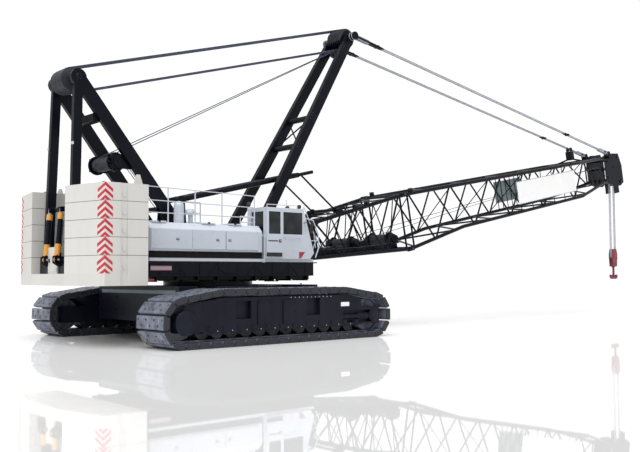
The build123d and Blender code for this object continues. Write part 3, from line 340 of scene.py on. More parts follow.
@dataclass(frozen=True)
class SlabPaint:
    """Counterweight paint with a stack of red chevrons folded round each slab's rear corner, and thin dark
    lines of painted shade in the gaps between slabs.
    """

    colour: Colour
    stripe: Colour
    corner_x: float = -4.94
    half_width: float = 2.73
    bottom_z: float = 1.96
    top_z: float = 4.32
    pitch: float = 0.472
    side_reach: float = 0.219
    rear_reach: float = 0.303
    side_fall: float = 0.79
    rear_fall: float = 0.57
    period: float = 0.170
    band: float = 0.092
    skin: float = 0.004
    # Width and colour of the painted shade in the gaps between slabs
    seam_shade: float = 0.009
    shade: Colour = (0.16, 0.15, 0.14)

    def material(self, name: str) -> bpy.types.Material:
        """Builds the material.

        Args:
            name: Its name.

        Returns:
            The material.
        """
        graph = Graph(name)
        along = graph.axis("X") - self.corner_x
        inward = self.half_width - abs(graph.axis("Y"))
        height = graph.axis("Z")
        beside = along.above(0.0)
        down = self.pitch - (height - self.bottom_z) % self.pitch
        place = down - along * beside * self.side_fall - inward * self.rear_fall
        band = (place % self.period).below(self.band) * place.above(0.0)
        near = beside * along.below(self.side_reach) * inward.below(self.skin)
        near = near + (1.0 - beside) * inward.below(self.rear_reach)
        stripes = band * near * height.below(self.top_z - self.skin)
        slow = graph.noise(0.6, 2.0)
        streaks = graph.noise(5.0, 5.0, (1.0, 1.0, 0.16))
        grime = graph.ramp(streaks * 0.6 + slow * 0.4, (0.45, 0.0), (0.75, 1.0)) * 0.20
        base = graph.mix(slow, tuple(level * 0.93 for level in self.colour), self.colour)
        base = graph.mix(stripes, base, self.stripe)
        # Painted shade: thin dark lines along each slab's top and bottom edge, for the shadowed gaps between
        # slabs
        seam_shade = down.below(self.seam_shade) + down.above(self.pitch - self.seam_shade)
        seam_shade = seam_shade * height.below(self.top_z - self.seam_shade)
        base = graph.mix(seam_shade * height.above(self.bottom_z + self.seam_shade), base, self.shade)
        base = graph.mix(grime, base, (0.40, 0.38, 0.35))
        return graph.finish(
            Base_Color=base,
            Roughness=0.48 + grime,
            Coat_Weight=0.1,
            Normal=graph.bump(graph.noise(60.0, 3.0), 0.001, 0.4),
        )


@dataclass(frozen=True)
class TrackSteel:
    """Cast manganese steel: dark and pitted in its hollows, scoured to bare grey where it rolls."""

    dark: Colour
    scoured: Colour
    rubbed: Pair = (0.0, 99.0)

    def material(self, name: str) -> bpy.types.Material:
        """Builds the material.

        Args:
            name: Its name.

        Returns:
            The material.
        """
        graph = Graph(name)
        blotch = graph.noise(4.0, 6.0)
        grain = graph.noise(160.0, 3.0)
        worn = graph.ramp(blotch * 0.6 + grain * 0.4, (0.32, 0.0), (0.68, 1.0))
        across = abs(graph.axis("Y"))
        worn = worn * across.above(self.rubbed[0]) * across.below(self.rubbed[1])
        rust = graph.ramp(graph.noise(1.7, 4.0), (0.55, 0.0), (0.80, 1.0)) * 0.12
        base = graph.mix(worn, self.dark, self.scoured)
        base = graph.mix(rust, base, (0.10, 0.065, 0.045))
        return graph.finish(
            Base_Color=base,
            Roughness=0.62 - worn * 0.25,
            Metallic=0.15 + worn * 0.25,
            Normal=graph.bump(grain, 0.002, 0.6),
        )


@dataclass(frozen=True)
class RopeSteel:
    """Greased wire rope, with its strands' lay as fine diagonal bands."""

    colour: Colour
    lays: float

    def material(self, name: str) -> bpy.types.Material:
        """Builds the material.

        Args:
            name: Its name.

        Returns:
            The material.
        """
        graph = Graph(name)
        lay = graph.node(
            "ShaderNodeTexWave",
            {"wave_type": "BANDS", "bands_direction": "DIAGONAL"},
            {"Vector": graph.position, "Scale": self.lays, "Distortion": 0.4},
            "Fac",
        )
        grease = graph.noise(2.0, 3.0)
        base = graph.mix(lay * 0.6 + grease * 0.4, tuple(level * 0.45 for level in self.colour), self.colour)
        return graph.finish(
            Base_Color=base, Roughness=0.38 + grease * 0.2, Metallic=0.2, Normal=graph.bump(lay, 0.002, 0.7)
        )


@dataclass(frozen=True)
class Glass:
    """Tinted cab glass, dark from outside with a film of dust."""

    tint: Colour
    dust: Colour = (0.30, 0.34, 0.36)

    def material(self, name: str) -> bpy.types.Material:
        """Builds the material.

        Args:
            name: Its name.

        Returns:
            The material.
        """
        graph = Graph(name)
        film = graph.ramp(graph.noise(3.0, 5.0), (0.45, 0.0), (0.85, 1.0))
        return graph.finish(
            Base_Color=graph.mix(film * 0.10, self.tint, self.dust),
            Roughness=0.04 + film * 0.10,
            Specular_IOR_Level=0.45,
            Alpha=0.80 + film * 0.06,
        )


@dataclass(frozen=True)
class SeatCloth:
    """Woven black seat cover."""

    colour: Colour

    def material(self, name: str) -> bpy.types.Material:
        """Builds the material.

        Args:
            name: Its name.

        Returns:
            The material.
        """
        graph = Graph(name)
        weave = graph.node(
            "ShaderNodeTexWave", {"wave_type": "BANDS"}, {"Vector": graph.position, "Scale": 180.0}, "Fac"
        )
        base = graph.mix(weave, self.colour, tuple(level * 1.8 for level in self.colour))
        return graph.finish(
            Base_Color=base, Roughness=0.9, Sheen_Weight=0.4, Normal=graph.bump(weave, 0.001, 0.5)
        )


class Finish(Enum):
    """The crane's finishes."""

    BLACK = "satin_blue_black_paint"
    FRAME = "crawler_frame_paint"
    WHITE = "gloss_white_paint"
    HOUSE = "house_white_paint"
    CREAM = "counterweight_cream_paint"
    TRACK = "scoured_track_steel"
    GLASS = "tinted_cab_glass"
    SEAT = "woven_seat_cloth"
    ROPE = "greased_wire_rope"
    PENDANT = "bright_pendant_rope"
    RED = "crimson_paint"
    HOOK = "forged_hook_paint"
    SLAB = "counterweight_slab_paint"
    ORANGE = "orange_paint"
    BLANK = "blank_plate_white"
    CLOTH = "grey_banner_back"
    LAMP = "red_lamp_plastic"
    RUBBER = "black_rubber"
    BOLT = "bright_bolt_steel"
    SHEAVE = "worn_sheave_steel"


BLUE_BLACK_DUST: Colour = (0.08, 0.09, 0.12)
HOUSE_WHITE: Colour = (0.54, 0.58, 0.65)

FINISHES: dict[Finish, Any] = {
    Finish.BLACK: Paint((0.003, 0.0035, 0.008), BLUE_BLACK_DUST, 0.04, 0.26, 0.0, 0.13),
    Finish.FRAME: Paint((0.006, 0.007, 0.015), BLUE_BLACK_DUST, 0.06, 0.36, 0.0, 0.14),
    Finish.WHITE: Paint(HOUSE_WHITE, dustiness=0.06, roughness=0.28, coat=0.2),
    # The house's wall is painted near black below 2.60 m as shade in its recessed foot
    Finish.HOUSE: HousePaint(HOUSE_WHITE, recess_shade=(0.002, 0.002, 0.003), recess_shade_top=2.60),
    Finish.CREAM: Paint((0.58, 0.57, 0.54), dustiness=0.12, roughness=0.45, coat=0.1),
    Finish.TRACK: TrackSteel((0.018, 0.020, 0.028), (0.25, 0.28, 0.36), rubbed=(2.74, 4.085)),
    Finish.GLASS: Glass((0.006, 0.008, 0.010)),
    Finish.SEAT: SeatCloth((0.016, 0.016, 0.019)),
    Finish.ROPE: RopeSteel((0.055, 0.07, 0.12), lays=60.0),
    Finish.PENDANT: RopeSteel((0.46, 0.48, 0.54), lays=40.0),
    Finish.RED: Paint((0.36, 0.006, 0.024), dustiness=0.04, roughness=0.34, coat=0.1),
    Finish.HOOK: Paint((0.17, 0.004, 0.022), dustiness=0.03, roughness=0.40, coat=0.1),
    Finish.SLAB: SlabPaint((0.55, 0.54, 0.515), stripe=(0.42, 0.006, 0.022)),
    Finish.BLANK: Paint((0.86, 0.86, 0.86), dustiness=0.04, roughness=0.4, coat=0.1),
    Finish.CLOTH: Paint((0.15, 0.20, 0.20), dustiness=0.1, roughness=0.7, coat=0.0),
    Finish.LAMP: Paint((0.45, 0.012, 0.010), dustiness=0.05, roughness=0.15, coat=0.8),
    Finish.RUBBER: Paint((0.010, 0.010, 0.011), dustiness=0.1, roughness=0.65, coat=0.0),
    Finish.BOLT: TrackSteel((0.30, 0.31, 0.33), (0.55, 0.56, 0.58)),
    Finish.ORANGE: Paint((0.62, 0.27, 0.02), dustiness=0.15, roughness=0.40),
    Finish.SHEAVE: TrackSteel((0.012, 0.013, 0.018), (0.05, 0.055, 0.07)),
}


class Workshop:
    """Keeps the finishes that are already mixed, and the frame that pieces ride on."""

    def __init__(self, frame: dict[str, Any]) -> None:
        self.frame = frame
        self.mixed: dict[Finish, bpy.types.Material] = {}

    def finish(self, name: Finish) -> bpy.types.Material:
        """The material of a finish, mixed once.

        Args:
            name: The finish.

        Returns:
            Its material.
        """
        if name not in self.mixed:
            self.mixed[name] = FINISHES[name].material(name.value)
        return self.mixed[name]

    def dress(self, finish: Finish, *nodes: str) -> None:
        """Gives CAD nodes their finish.

        Args:
            finish: The finish.
            nodes: The nodes' names. A name that ends in a star stands for all that start so.
        """
        for pattern in nodes:
            for name, piece in self.frame["nodes"].items():
                if name == pattern or (pattern.endswith("*") and name.startswith(pattern[:-1])):
                    for slot in piece.material_slots:
                        slot.material = self.finish(finish)

    def place(self, form: "Form") -> bpy.types.Object:
        """Turns a finished form into a piece that rides on its body.

        Args:
            form: The form. Its mesh is freed.

        Returns:
            The piece.
        """
        made = self.loose(form)
        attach(made, form.body)
        return made

    def stretch(self, form: "Form", far_body: str, start: Point, end: Point) -> bpy.types.Object:
        """Turns a finished form into a rope, with its place baked into its mesh and no body to carry it.

        Args:
            form: The form. Its mesh is freed.
            far_body: The body at its far end; not used.
            start: Where the near body's hold ends; not used.
            end: Where the far body's hold starts; not used.

        Returns:
            The piece.
        """
        made = self.loose(form)
        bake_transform(made)
        return made

    def loose(self, form: "Form") -> bpy.types.Object:
        """Turns a finished form into an object that nothing carries yet.

        Args:
            form: The form. Its mesh is freed.

        Returns:
            The object.
        """
        mesh = form.mesh
        bmesh.ops.recalc_face_normals(mesh, faces=mesh.faces)
        for face in mesh.faces:
            face.smooth = True
        for edge in mesh.edges:
            edge.smooth = edge.calc_face_angle(0.0) < SHARP_ANGLE
        data = bpy.data.meshes.new(form.name)
        mesh.to_mesh(data)
        mesh.free()
        made = bpy.data.objects.new(form.name, data)
        for finish in form.finishes:
            data.materials.append(self.finish(finish))
        bpy.context.scene.collection.objects.link(made)
        LOG.info("%s: %d faces with %s", form.name, len(data.polygons), form.body)
        return made


@dataclass(frozen=True)
class Slope:
    """A line in side view, along which pieces are measured: s along it, y across, t above it."""

    x: float
    z: float
    angle: float

    def matrix(self) -> Matrix:
        """The turn and shift from (s, y, t) to the crane's own frame."""
        return Matrix.Translation((self.x, 0.0, self.z)) @ Matrix.Rotation(-math.radians(self.angle), 4, "Y")


BOOM = Slope(2.70, 2.82, 11.0)
MAST = Slope(1.15, 2.95, math.degrees(math.atan2(7.55, 4.60)))


def toward(start: Place, end: Place) -> Matrix:
    """A frame at a point whose Z axis points at another."""
    way = Vector(end) - Vector(start)
    return Matrix.Translation(start) @ way.to_track_quat("Z", "Y").to_matrix().to_4x4()


class Form:
    """A piece while it is modelled: each call adds one shape in one finish."""

    def __init__(self, name: str, body: str, slope: Slope | None = None) -> None:
        """Starts an empty piece.

        Args:
            name: The piece's name.
            body: The body that it rides on.
            slope: The line that its places are measured along, if any.
        """
        self.name = name
        self.body = body
        self.matrix = slope.matrix() if slope else Matrix()
        self.mesh = bmesh.new()
        self.finishes: list[Finish] = []

    def unit(self) -> "Form":
        """An empty form for a shape that stamp() then repeats in this piece."""
        part = Form(self.name, self.body)
        part.finishes = self.finishes
        return part

    def stamp(self, part: "Form", places: Sequence[Matrix]) -> None:
        """Adds a unit at each of several places.

        Args:
            part: The unit. Its mesh is freed.
            places: Where it goes.
        """
        for place in places:
            self._join(part.mesh, place)
        part.mesh.free()

    def _join(self, shape: bmesh.types.BMesh, place: Matrix) -> None:
        """Copies a shape into the piece's mesh.

        Args:
            shape: The shape, which is left as it is.
            place: Where it goes.
        """
        copy = shape.copy()
        copy.transform(self.matrix @ place)
        data = bpy.data.meshes.new("shape")
        copy.to_mesh(data)
        copy.free()
        self.mesh.from_mesh(data)
        bpy.data.meshes.remove(data)

    def _add(self, shape: bmesh.types.BMesh, finish: Finish, place: Matrix) -> None:
        """Paints a shape and joins it.

        Args:
            shape: The shape. It is freed.
            finish: Its finish.
            place: Where it goes.
        """
        if finish not in self.finishes:
            self.finishes.append(finish)
        for face in shape.faces:
            face.material_index = self.finishes.index(finish)
        self._join(shape, place)
        shape.free()

    @staticmethod
    def _soften(shape: bmesh.types.BMesh, width: float) -> None:
        """Bevels a shape's edges.

        Args:
            shape: The shape.
            width: The bevel's width.
        """
        if width > 0:
            bmesh.ops.bevel(
                shape, geom=shape.edges[:], offset=width, segments=1, profile=0.5, affect="EDGES", material=-1
            )

    def block(self, low: Point, high: Point, finish: Finish, bevel: float = 0.006) -> None:
        """Adds a softened box.

        Args:
            low: Its lowest corner.
            high: Its highest corner.
            finish: Its finish.
            bevel: How wide its edges are bevelled.
        """
        shape = bmesh.new()
        bmesh.ops.create_cube(shape, size=1.0)
        low, high = Vector(low), Vector(high)
        bmesh.ops.scale(shape, vec=high - low, verts=shape.verts)
        self._soften(shape, bevel)
        self._add(shape, finish, Matrix.Translation((low + high) / 2))

    def bar(
        self, start: Place, end: Place, radius: float, finish: Finish, sides: int = 12, tip: float = 0.0
    ) -> None:
        """Adds a round bar, or a taper.

        Args:
            start: One end.
            end: The other end.
            radius: Its radius at the start.
            finish: Its finish.
            sides: How many sides it has.
            tip: Its radius at the end, if that differs.
        """
        length = (Vector(end) - Vector(start)).length
        shape = bmesh.new()
        bmesh.ops.create_cone(
            shape, cap_ends=True, segments=sides, radius1=radius, radius2=tip or radius, depth=length
        )
        bmesh.ops.translate(shape, vec=(0.0, 0.0, length / 2), verts=shape.verts)
        self._add(shape, finish, toward(start, end))

    def axle(self, x: float, z: float, half: float, radius: float, finish: Finish, sides: int = 12) -> None:
        """Adds a round bar straight across at a place and height, by half its length and its radius."""
        self.bar((x, -half, z), (x, half, z), radius, finish, sides)

    def pipe(self, points: Sequence[Place], radius: float, finish: Finish, sides: int = 8) -> None:
        """Adds a bent pipe with round elbows.

        Args:
            points: Its corners and ends.
            radius: Its radius.
            finish: Its finish.
            sides: How many sides it has.
        """
        for start, end in zip(points, points[1:]):
            self.bar(start, end, radius, finish, sides)
        for point in points[1:-1]:
            shape = bmesh.new()
            bmesh.ops.create_icosphere(shape, subdivisions=2, radius=radius)
            self._add(shape, finish, Matrix.Translation(point))

    def lathe(
        self, start: Point, end: Point, profile: Sequence[Pair], finish: Finish, steps: int = 28
    ) -> None:
        """Adds a turned shape.

        Args:
            start: Where its axis starts.
            end: A point that its axis goes through.
            profile: Pairs of radius and height along the axis, from one closed end to the other.
            finish: Its finish.
            steps: How many sides it has.
        """
        shape = bmesh.new()
        spots = [shape.verts.new((radius, 0.0, height)) for radius, height in profile]
        edges = [shape.edges.new(pair) for pair in zip(spots, spots[1:])]
        bmesh.ops.spin(
            shape,
            geom=spots + edges,
            cent=(0.0, 0.0, 0.0),
            axis=(0.0, 0.0, 1.0),
            angle=math.tau,
            steps=steps,
            use_merge=True,
        )
        bmesh.ops.remove_doubles(shape, verts=shape.verts, dist=1e-5)
        self._add(shape, finish, toward(start, end))

    def boss(
        self, centre: Point, sign: float, profile: Sequence[Pair], finish: Finish, steps: int = 28
    ) -> None:
        """Adds a turned shape whose axis lies across and points to the side that the sign gives."""
        x, y, z = centre
        self.lathe(centre, (x, y + sign, z), profile, finish, steps)

    def sheave(self, centre: Point, radius: float, width: float) -> None:
        """Adds a grooved sheave that stands in the side view, about its middle."""
        x, y, z = centre
        self.boss((x, y - width / 2, z), 1.0, sheave_outline(radius, width), Finish.SHEAVE)

    def plate(
        self, outline: Sequence[Pair], low_y: float, high_y: float, finish: Finish, bevel: float = 0.0
    ) -> None:
        """Adds a plate with a side-view outline.

        Args:
            outline: Its corners, as pairs of distance and height.
            low_y: Its lower distance across.
            high_y: Its higher distance across.
            finish: Its finish.
            bevel: How wide its edges are bevelled.
        """
        shape = bmesh.new()
        face = shape.faces.new([shape.verts.new((x, low_y, z)) for x, z in outline])
        moved = bmesh.ops.extrude_face_region(shape, geom=[face])["geom"]
        bmesh.ops.translate(
            shape,
            vec=(0.0, high_y - low_y, 0.0),
            verts=[item for item in moved if isinstance(item, bmesh.types.BMVert)],
        )
        bmesh.ops.recalc_face_normals(shape, faces=shape.faces)
        self._soften(shape, bevel)
        self._add(shape, finish, Matrix())

    def hoop(
        self,
        centre: Point,
        radius: float,
        wire: float,
        finish: Finish,
        start: float = 0.0,
        sweep: float = 360.0,
        steps: int = 12,
    ) -> None:
        """Adds a ring, or part of one, that stands in the side view.

        Args:
            centre: Its middle.
            radius: Its radius.
            wire: Half its thickness.
            finish: Its finish.
            start: The angle where it starts, from the X axis towards Z, in degrees.
            sweep: How far it goes round.
            steps: How many straight parts it has.
        """
        shape = bmesh.new()
        bmesh.ops.create_circle(
            shape, segments=6, radius=wire, matrix=Matrix.Translation((radius, 0.0, 0.0))
        )
        bmesh.ops.spin(
            shape,
            geom=shape.verts[:] + shape.edges[:],
            cent=(0.0, 0.0, 0.0),
            axis=(0.0, -1.0, 0.0),
            angle=math.radians(sweep),
            steps=steps,
            use_merge=sweep == 360.0,
        )
        turn = Matrix.Rotation(-math.radians(start), 4, "Y")
        self._add(shape, finish, Matrix.Translation(centre) @ turn)

    def bolts(self, places: Sequence[Point], way: Point, radius: float, finish: Finish) -> None:
        """Adds hexagonal bolt heads.

        Args:
            places: Where they stand.
            way: The direction that they point.
            radius: Their radius. Their height is a little over half of it.
            finish: Their finish.
        """
        for place in places:
            end = Vector(place) + Vector(way).normalized() * radius * 0.6
            self.bar(place, end, radius, finish, sides=6, tip=radius * 0.85)


def sheave_outline(radius: float, width: float) -> Outline:
    """The outline of a grooved sheave.

    Args:
        radius: Its outer radius.
        width: How wide it is.

    Returns:
        Pairs of radius and height, for Form.lathe().
    """
    deep = radius - width * 0.45
    return (
        (0.0, 0.0),
        (radius, 0.0),
        (radius, width * 0.12),
        (deep, width * 0.40),
        (deep, width * 0.60),
        (radius, width * 0.88),
        (radius, width),
        (0.0, width),
    )


def ranks(count: int, pitch: float) -> list[float]:
    """Places of things that lie side by side at a pitch, evenly about the middle."""
    return [(rank - (count - 1) / 2) * pitch for rank in range(count)]


def circle(centre: Point, radius: float, count: int) -> list[Point]:
    """Places round a circle that stands in the side view.

    Args:
        centre: The circle's middle.
        radius: Its radius.
        count: How many places there are.

    Returns:
        The places.
    """
    x, y, z = centre
    turns = [math.tau * rank / count for rank in range(count)]
    return [(x + radius * math.cos(turn), y, z + radius * math.sin(turn)) for turn in turns]


def beside(sign: float, inner: float, outer: float) -> Pair:
    """Two distances across on one side of the crane, the lower one first."""
    low, high = sorted((sign * inner, sign * outer))
    return low, high


@dataclass
class RopeWork:
    """The boom hoist ropes over gantry and mast, the winch's ropes and the falls of the hook."""

    shop: Workshop
    gantry_head: Point = (-4.78, 0.0, 7.42)
    mast_head: Point = (5.75, 0.0, 10.5)
    sheave_count: int = 6
    sheave_pitch: float = 0.12
    groove: float = 0.344
    thickness: float = 0.0135
    lip_radius: float = 0.338
    lip_half: float = 0.03
    lip_wire: float = 0.014
    drum: Point = (-3.55, 0.0, 5.16)
    drum_rope: float = 0.205
    drum_half: float = 0.50
    drum_spread: float = 0.40
    wrap_count: int = 36
    wrap_radius: float = 0.195
    wrap_wire: float = 0.0145
    winch_wire: float = 0.014
    guide: Point = (5.48, 0.0, 9.93)
    guide_radius: float = 0.12
    guide_half: float = 0.10
    # half length and radius of the guides' axle, and the radius and width of a guide sheave
    guide_axle: Pair = (0.46, 0.045)
    guide_sheave: Pair = (0.13, 0.06)
    boom_tip: Point = (24.332305, 0.0, 6.515536)
    axle_z: float = 2.80
    fall_half: float = 0.19
    fall_pitch: float = 0.032
    fall_count: int = 4
    fall_wire: float = 0.011
    block_sheave: Pair = (0.188, 0.024)
    # across, along and above for the drum that each hoist rope leaves
    lead_starts: tuple[Point, ...] = ((-0.16, 3.08, -0.22), (0.16, 5.05, -0.40))
    lead_turn: Pair = (21.0, 0.40)
    lead_end: Pair = (21.98, -0.31)
    lead_axle: Point = (21.0, 0.255, 0.50)
    lead_sheave: Pair = (0.15, 0.06)

    def build(self) -> None:
        """Makes every rope."""
        self._luffing_ropes()
        self._luffing_bends()
        self._winch_ropes()
        self._drum_wraps()
        self._guide_sheaves()
        self._falls()
        self._boom_ropes()

    def _luffing_ropes(self) -> None:
        """Stretches the twelve boom hoist ropes from the gantry's sheaves to the mast's."""
        start, end = Vector(self.gantry_head), Vector(self.mast_head)
        run = (end - start).normalized()
        up = Vector((-run.z, 0.0, run.x)) * self.groove
        form = Form("luffing_ropes", "upperworks")
        for y in ranks(self.sheave_count, self.sheave_pitch):
            for lift in (up, -up):
                shift = lift + Vector((0.0, y, 0.0))
                form.bar(start + shift, end + shift, self.thickness, Finish.ROPE, sides=6)
        piece = self.shop.stretch(form, "live_mast", self.gantry_head, self.mast_head)
        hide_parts("boom_hoist_ropes")

    def _luffing_bends(self) -> None:
        """Lays the ropes round the far side of each sheave, and the sheaves' raised rims."""
        rise, run = self.mast_head[2] - self.gantry_head[2], self.mast_head[0] - self.gantry_head[0]
        slope = math.degrees(math.atan2(rise, run))
        for name, body, (x, _, z), turn in (
            ("gantry_rope_bends", "upperworks", self.gantry_head, slope + 90.0),
            ("mast_rope_bends", "live_mast", self.mast_head, slope - 90.0),
        ):
            form = Form(name, body)
            for y in ranks(self.sheave_count, self.sheave_pitch):
                form.hoop((x, y, z), self.groove, self.thickness, Finish.SHEAVE, turn, 180.0)
                for lip in (-self.lip_half, self.lip_half):
                    form.hoop((x, y + lip, z), self.lip_radius, self.lip_wire, Finish.SHEAVE, steps=32)
            self.shop.place(form)

    def _winch_ropes(self) -> None:
        """Leads the winch's two ropes to the small sheaves under the mast's head."""
        start, end = Vector(self.drum), Vector(self.guide)
        run = (end - start).normalized()
        up = Vector((-run.z, 0.0, run.x))
        start, end = start + up * self.drum_rope, end + up * self.guide_radius
        form = Form("winch_ropes", "upperworks")
        for sign in SIGNS:
            near = Vector((0.0, sign * self.drum_spread, 0.0))
            far = Vector((0.0, sign * self.guide_half, 0.0))
            form.bar(start + near, end + far, self.winch_wire, Finish.ROPE, sides=8)
        self.shop.stretch(form, "live_mast", tuple(start), tuple(end))

    def _drum_wraps(self) -> None:
        """Wraps the gantry winch's drum."""
        form = Form("winch_rope_wraps", "upperworks")
        x, _, z = self.drum
        for y in ranks(self.wrap_count, 2 * self.drum_half / self.wrap_count):
            form.hoop((x, y, z), self.wrap_radius, self.wrap_wire, Finish.SHEAVE, steps=24)
        self.shop.place(form)

    def _guide_sheaves(self) -> None:
        """Sets the two small sheaves on their axle under the mast's head."""
        form = Form("mast_guide_sheaves", "live_mast")
        x, _, z = self.guide
        half, radius = self.guide_axle
        form.axle(x, z, half, radius, Finish.BLACK, sides=16)
        for y in (-self.guide_half, self.guide_half):
            form.sheave((x, y, z), *self.guide_sheave)
        self.shop.place(form)

    def _falls(self) -> None:
        """Hangs the hook's falls, and bends them round the boom tip's sheaves and the block's."""
        x, _, top = self.boom_tip
        falls = Form("hook_falls", "hook_line")
        tip = Form("boom_tip_rope_bends", "boom")
        block = Form("block_rope_bends", "hook_block")
        bright, wire, half = Finish.PENDANT, self.fall_wire, self.fall_half
        for y in ranks(self.fall_count, self.fall_pitch):
            for side in (-half, half):
                falls.bar((x + side, y, self.axle_z), (x + side, y, top), wire, bright, sides=8)
            tip.hoop((x, y, top), half, wire, bright, -20.0, 200.0)
            block.hoop((x, y, self.axle_z), half, wire, bright, 180.0, 180.0)
        for y in (-self.fall_pitch, 0.0, self.fall_pitch):
            block.sheave((x, y, self.axle_z), *self.block_sheave)
        piece = self.shop.stretch(falls, "hook_block", self.boom_tip, (x, 0.0, self.axle_z))
        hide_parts("hoist_falls")
        self.shop.place(tip)
        self.shop.place(block)

    def _boom_ropes(self) -> None:
        """Leads the hoist ropes from the butt's drums through the boom to its tip."""
        form = Form("boom_hoist_leads", "boom", BOOM)
        (turn_s, turn_t), (end_s, end_t) = self.lead_turn, self.lead_end
        axle_s, axle_t, axle_half = self.lead_axle
        for y, s, t in self.lead_starts:
            form.bar((s, y, t), (turn_s, y, turn_t), self.fall_wire, Finish.ROPE, sides=6)
            form.bar((turn_s, y, turn_t), (end_s, y, end_t), self.fall_wire, Finish.ROPE, sides=6)
            form.sheave((axle_s, y, axle_t), *self.lead_sheave)
        form.axle(axle_s, axle_t, axle_half, 0.04, Finish.BLACK)
        self.shop.place(form)


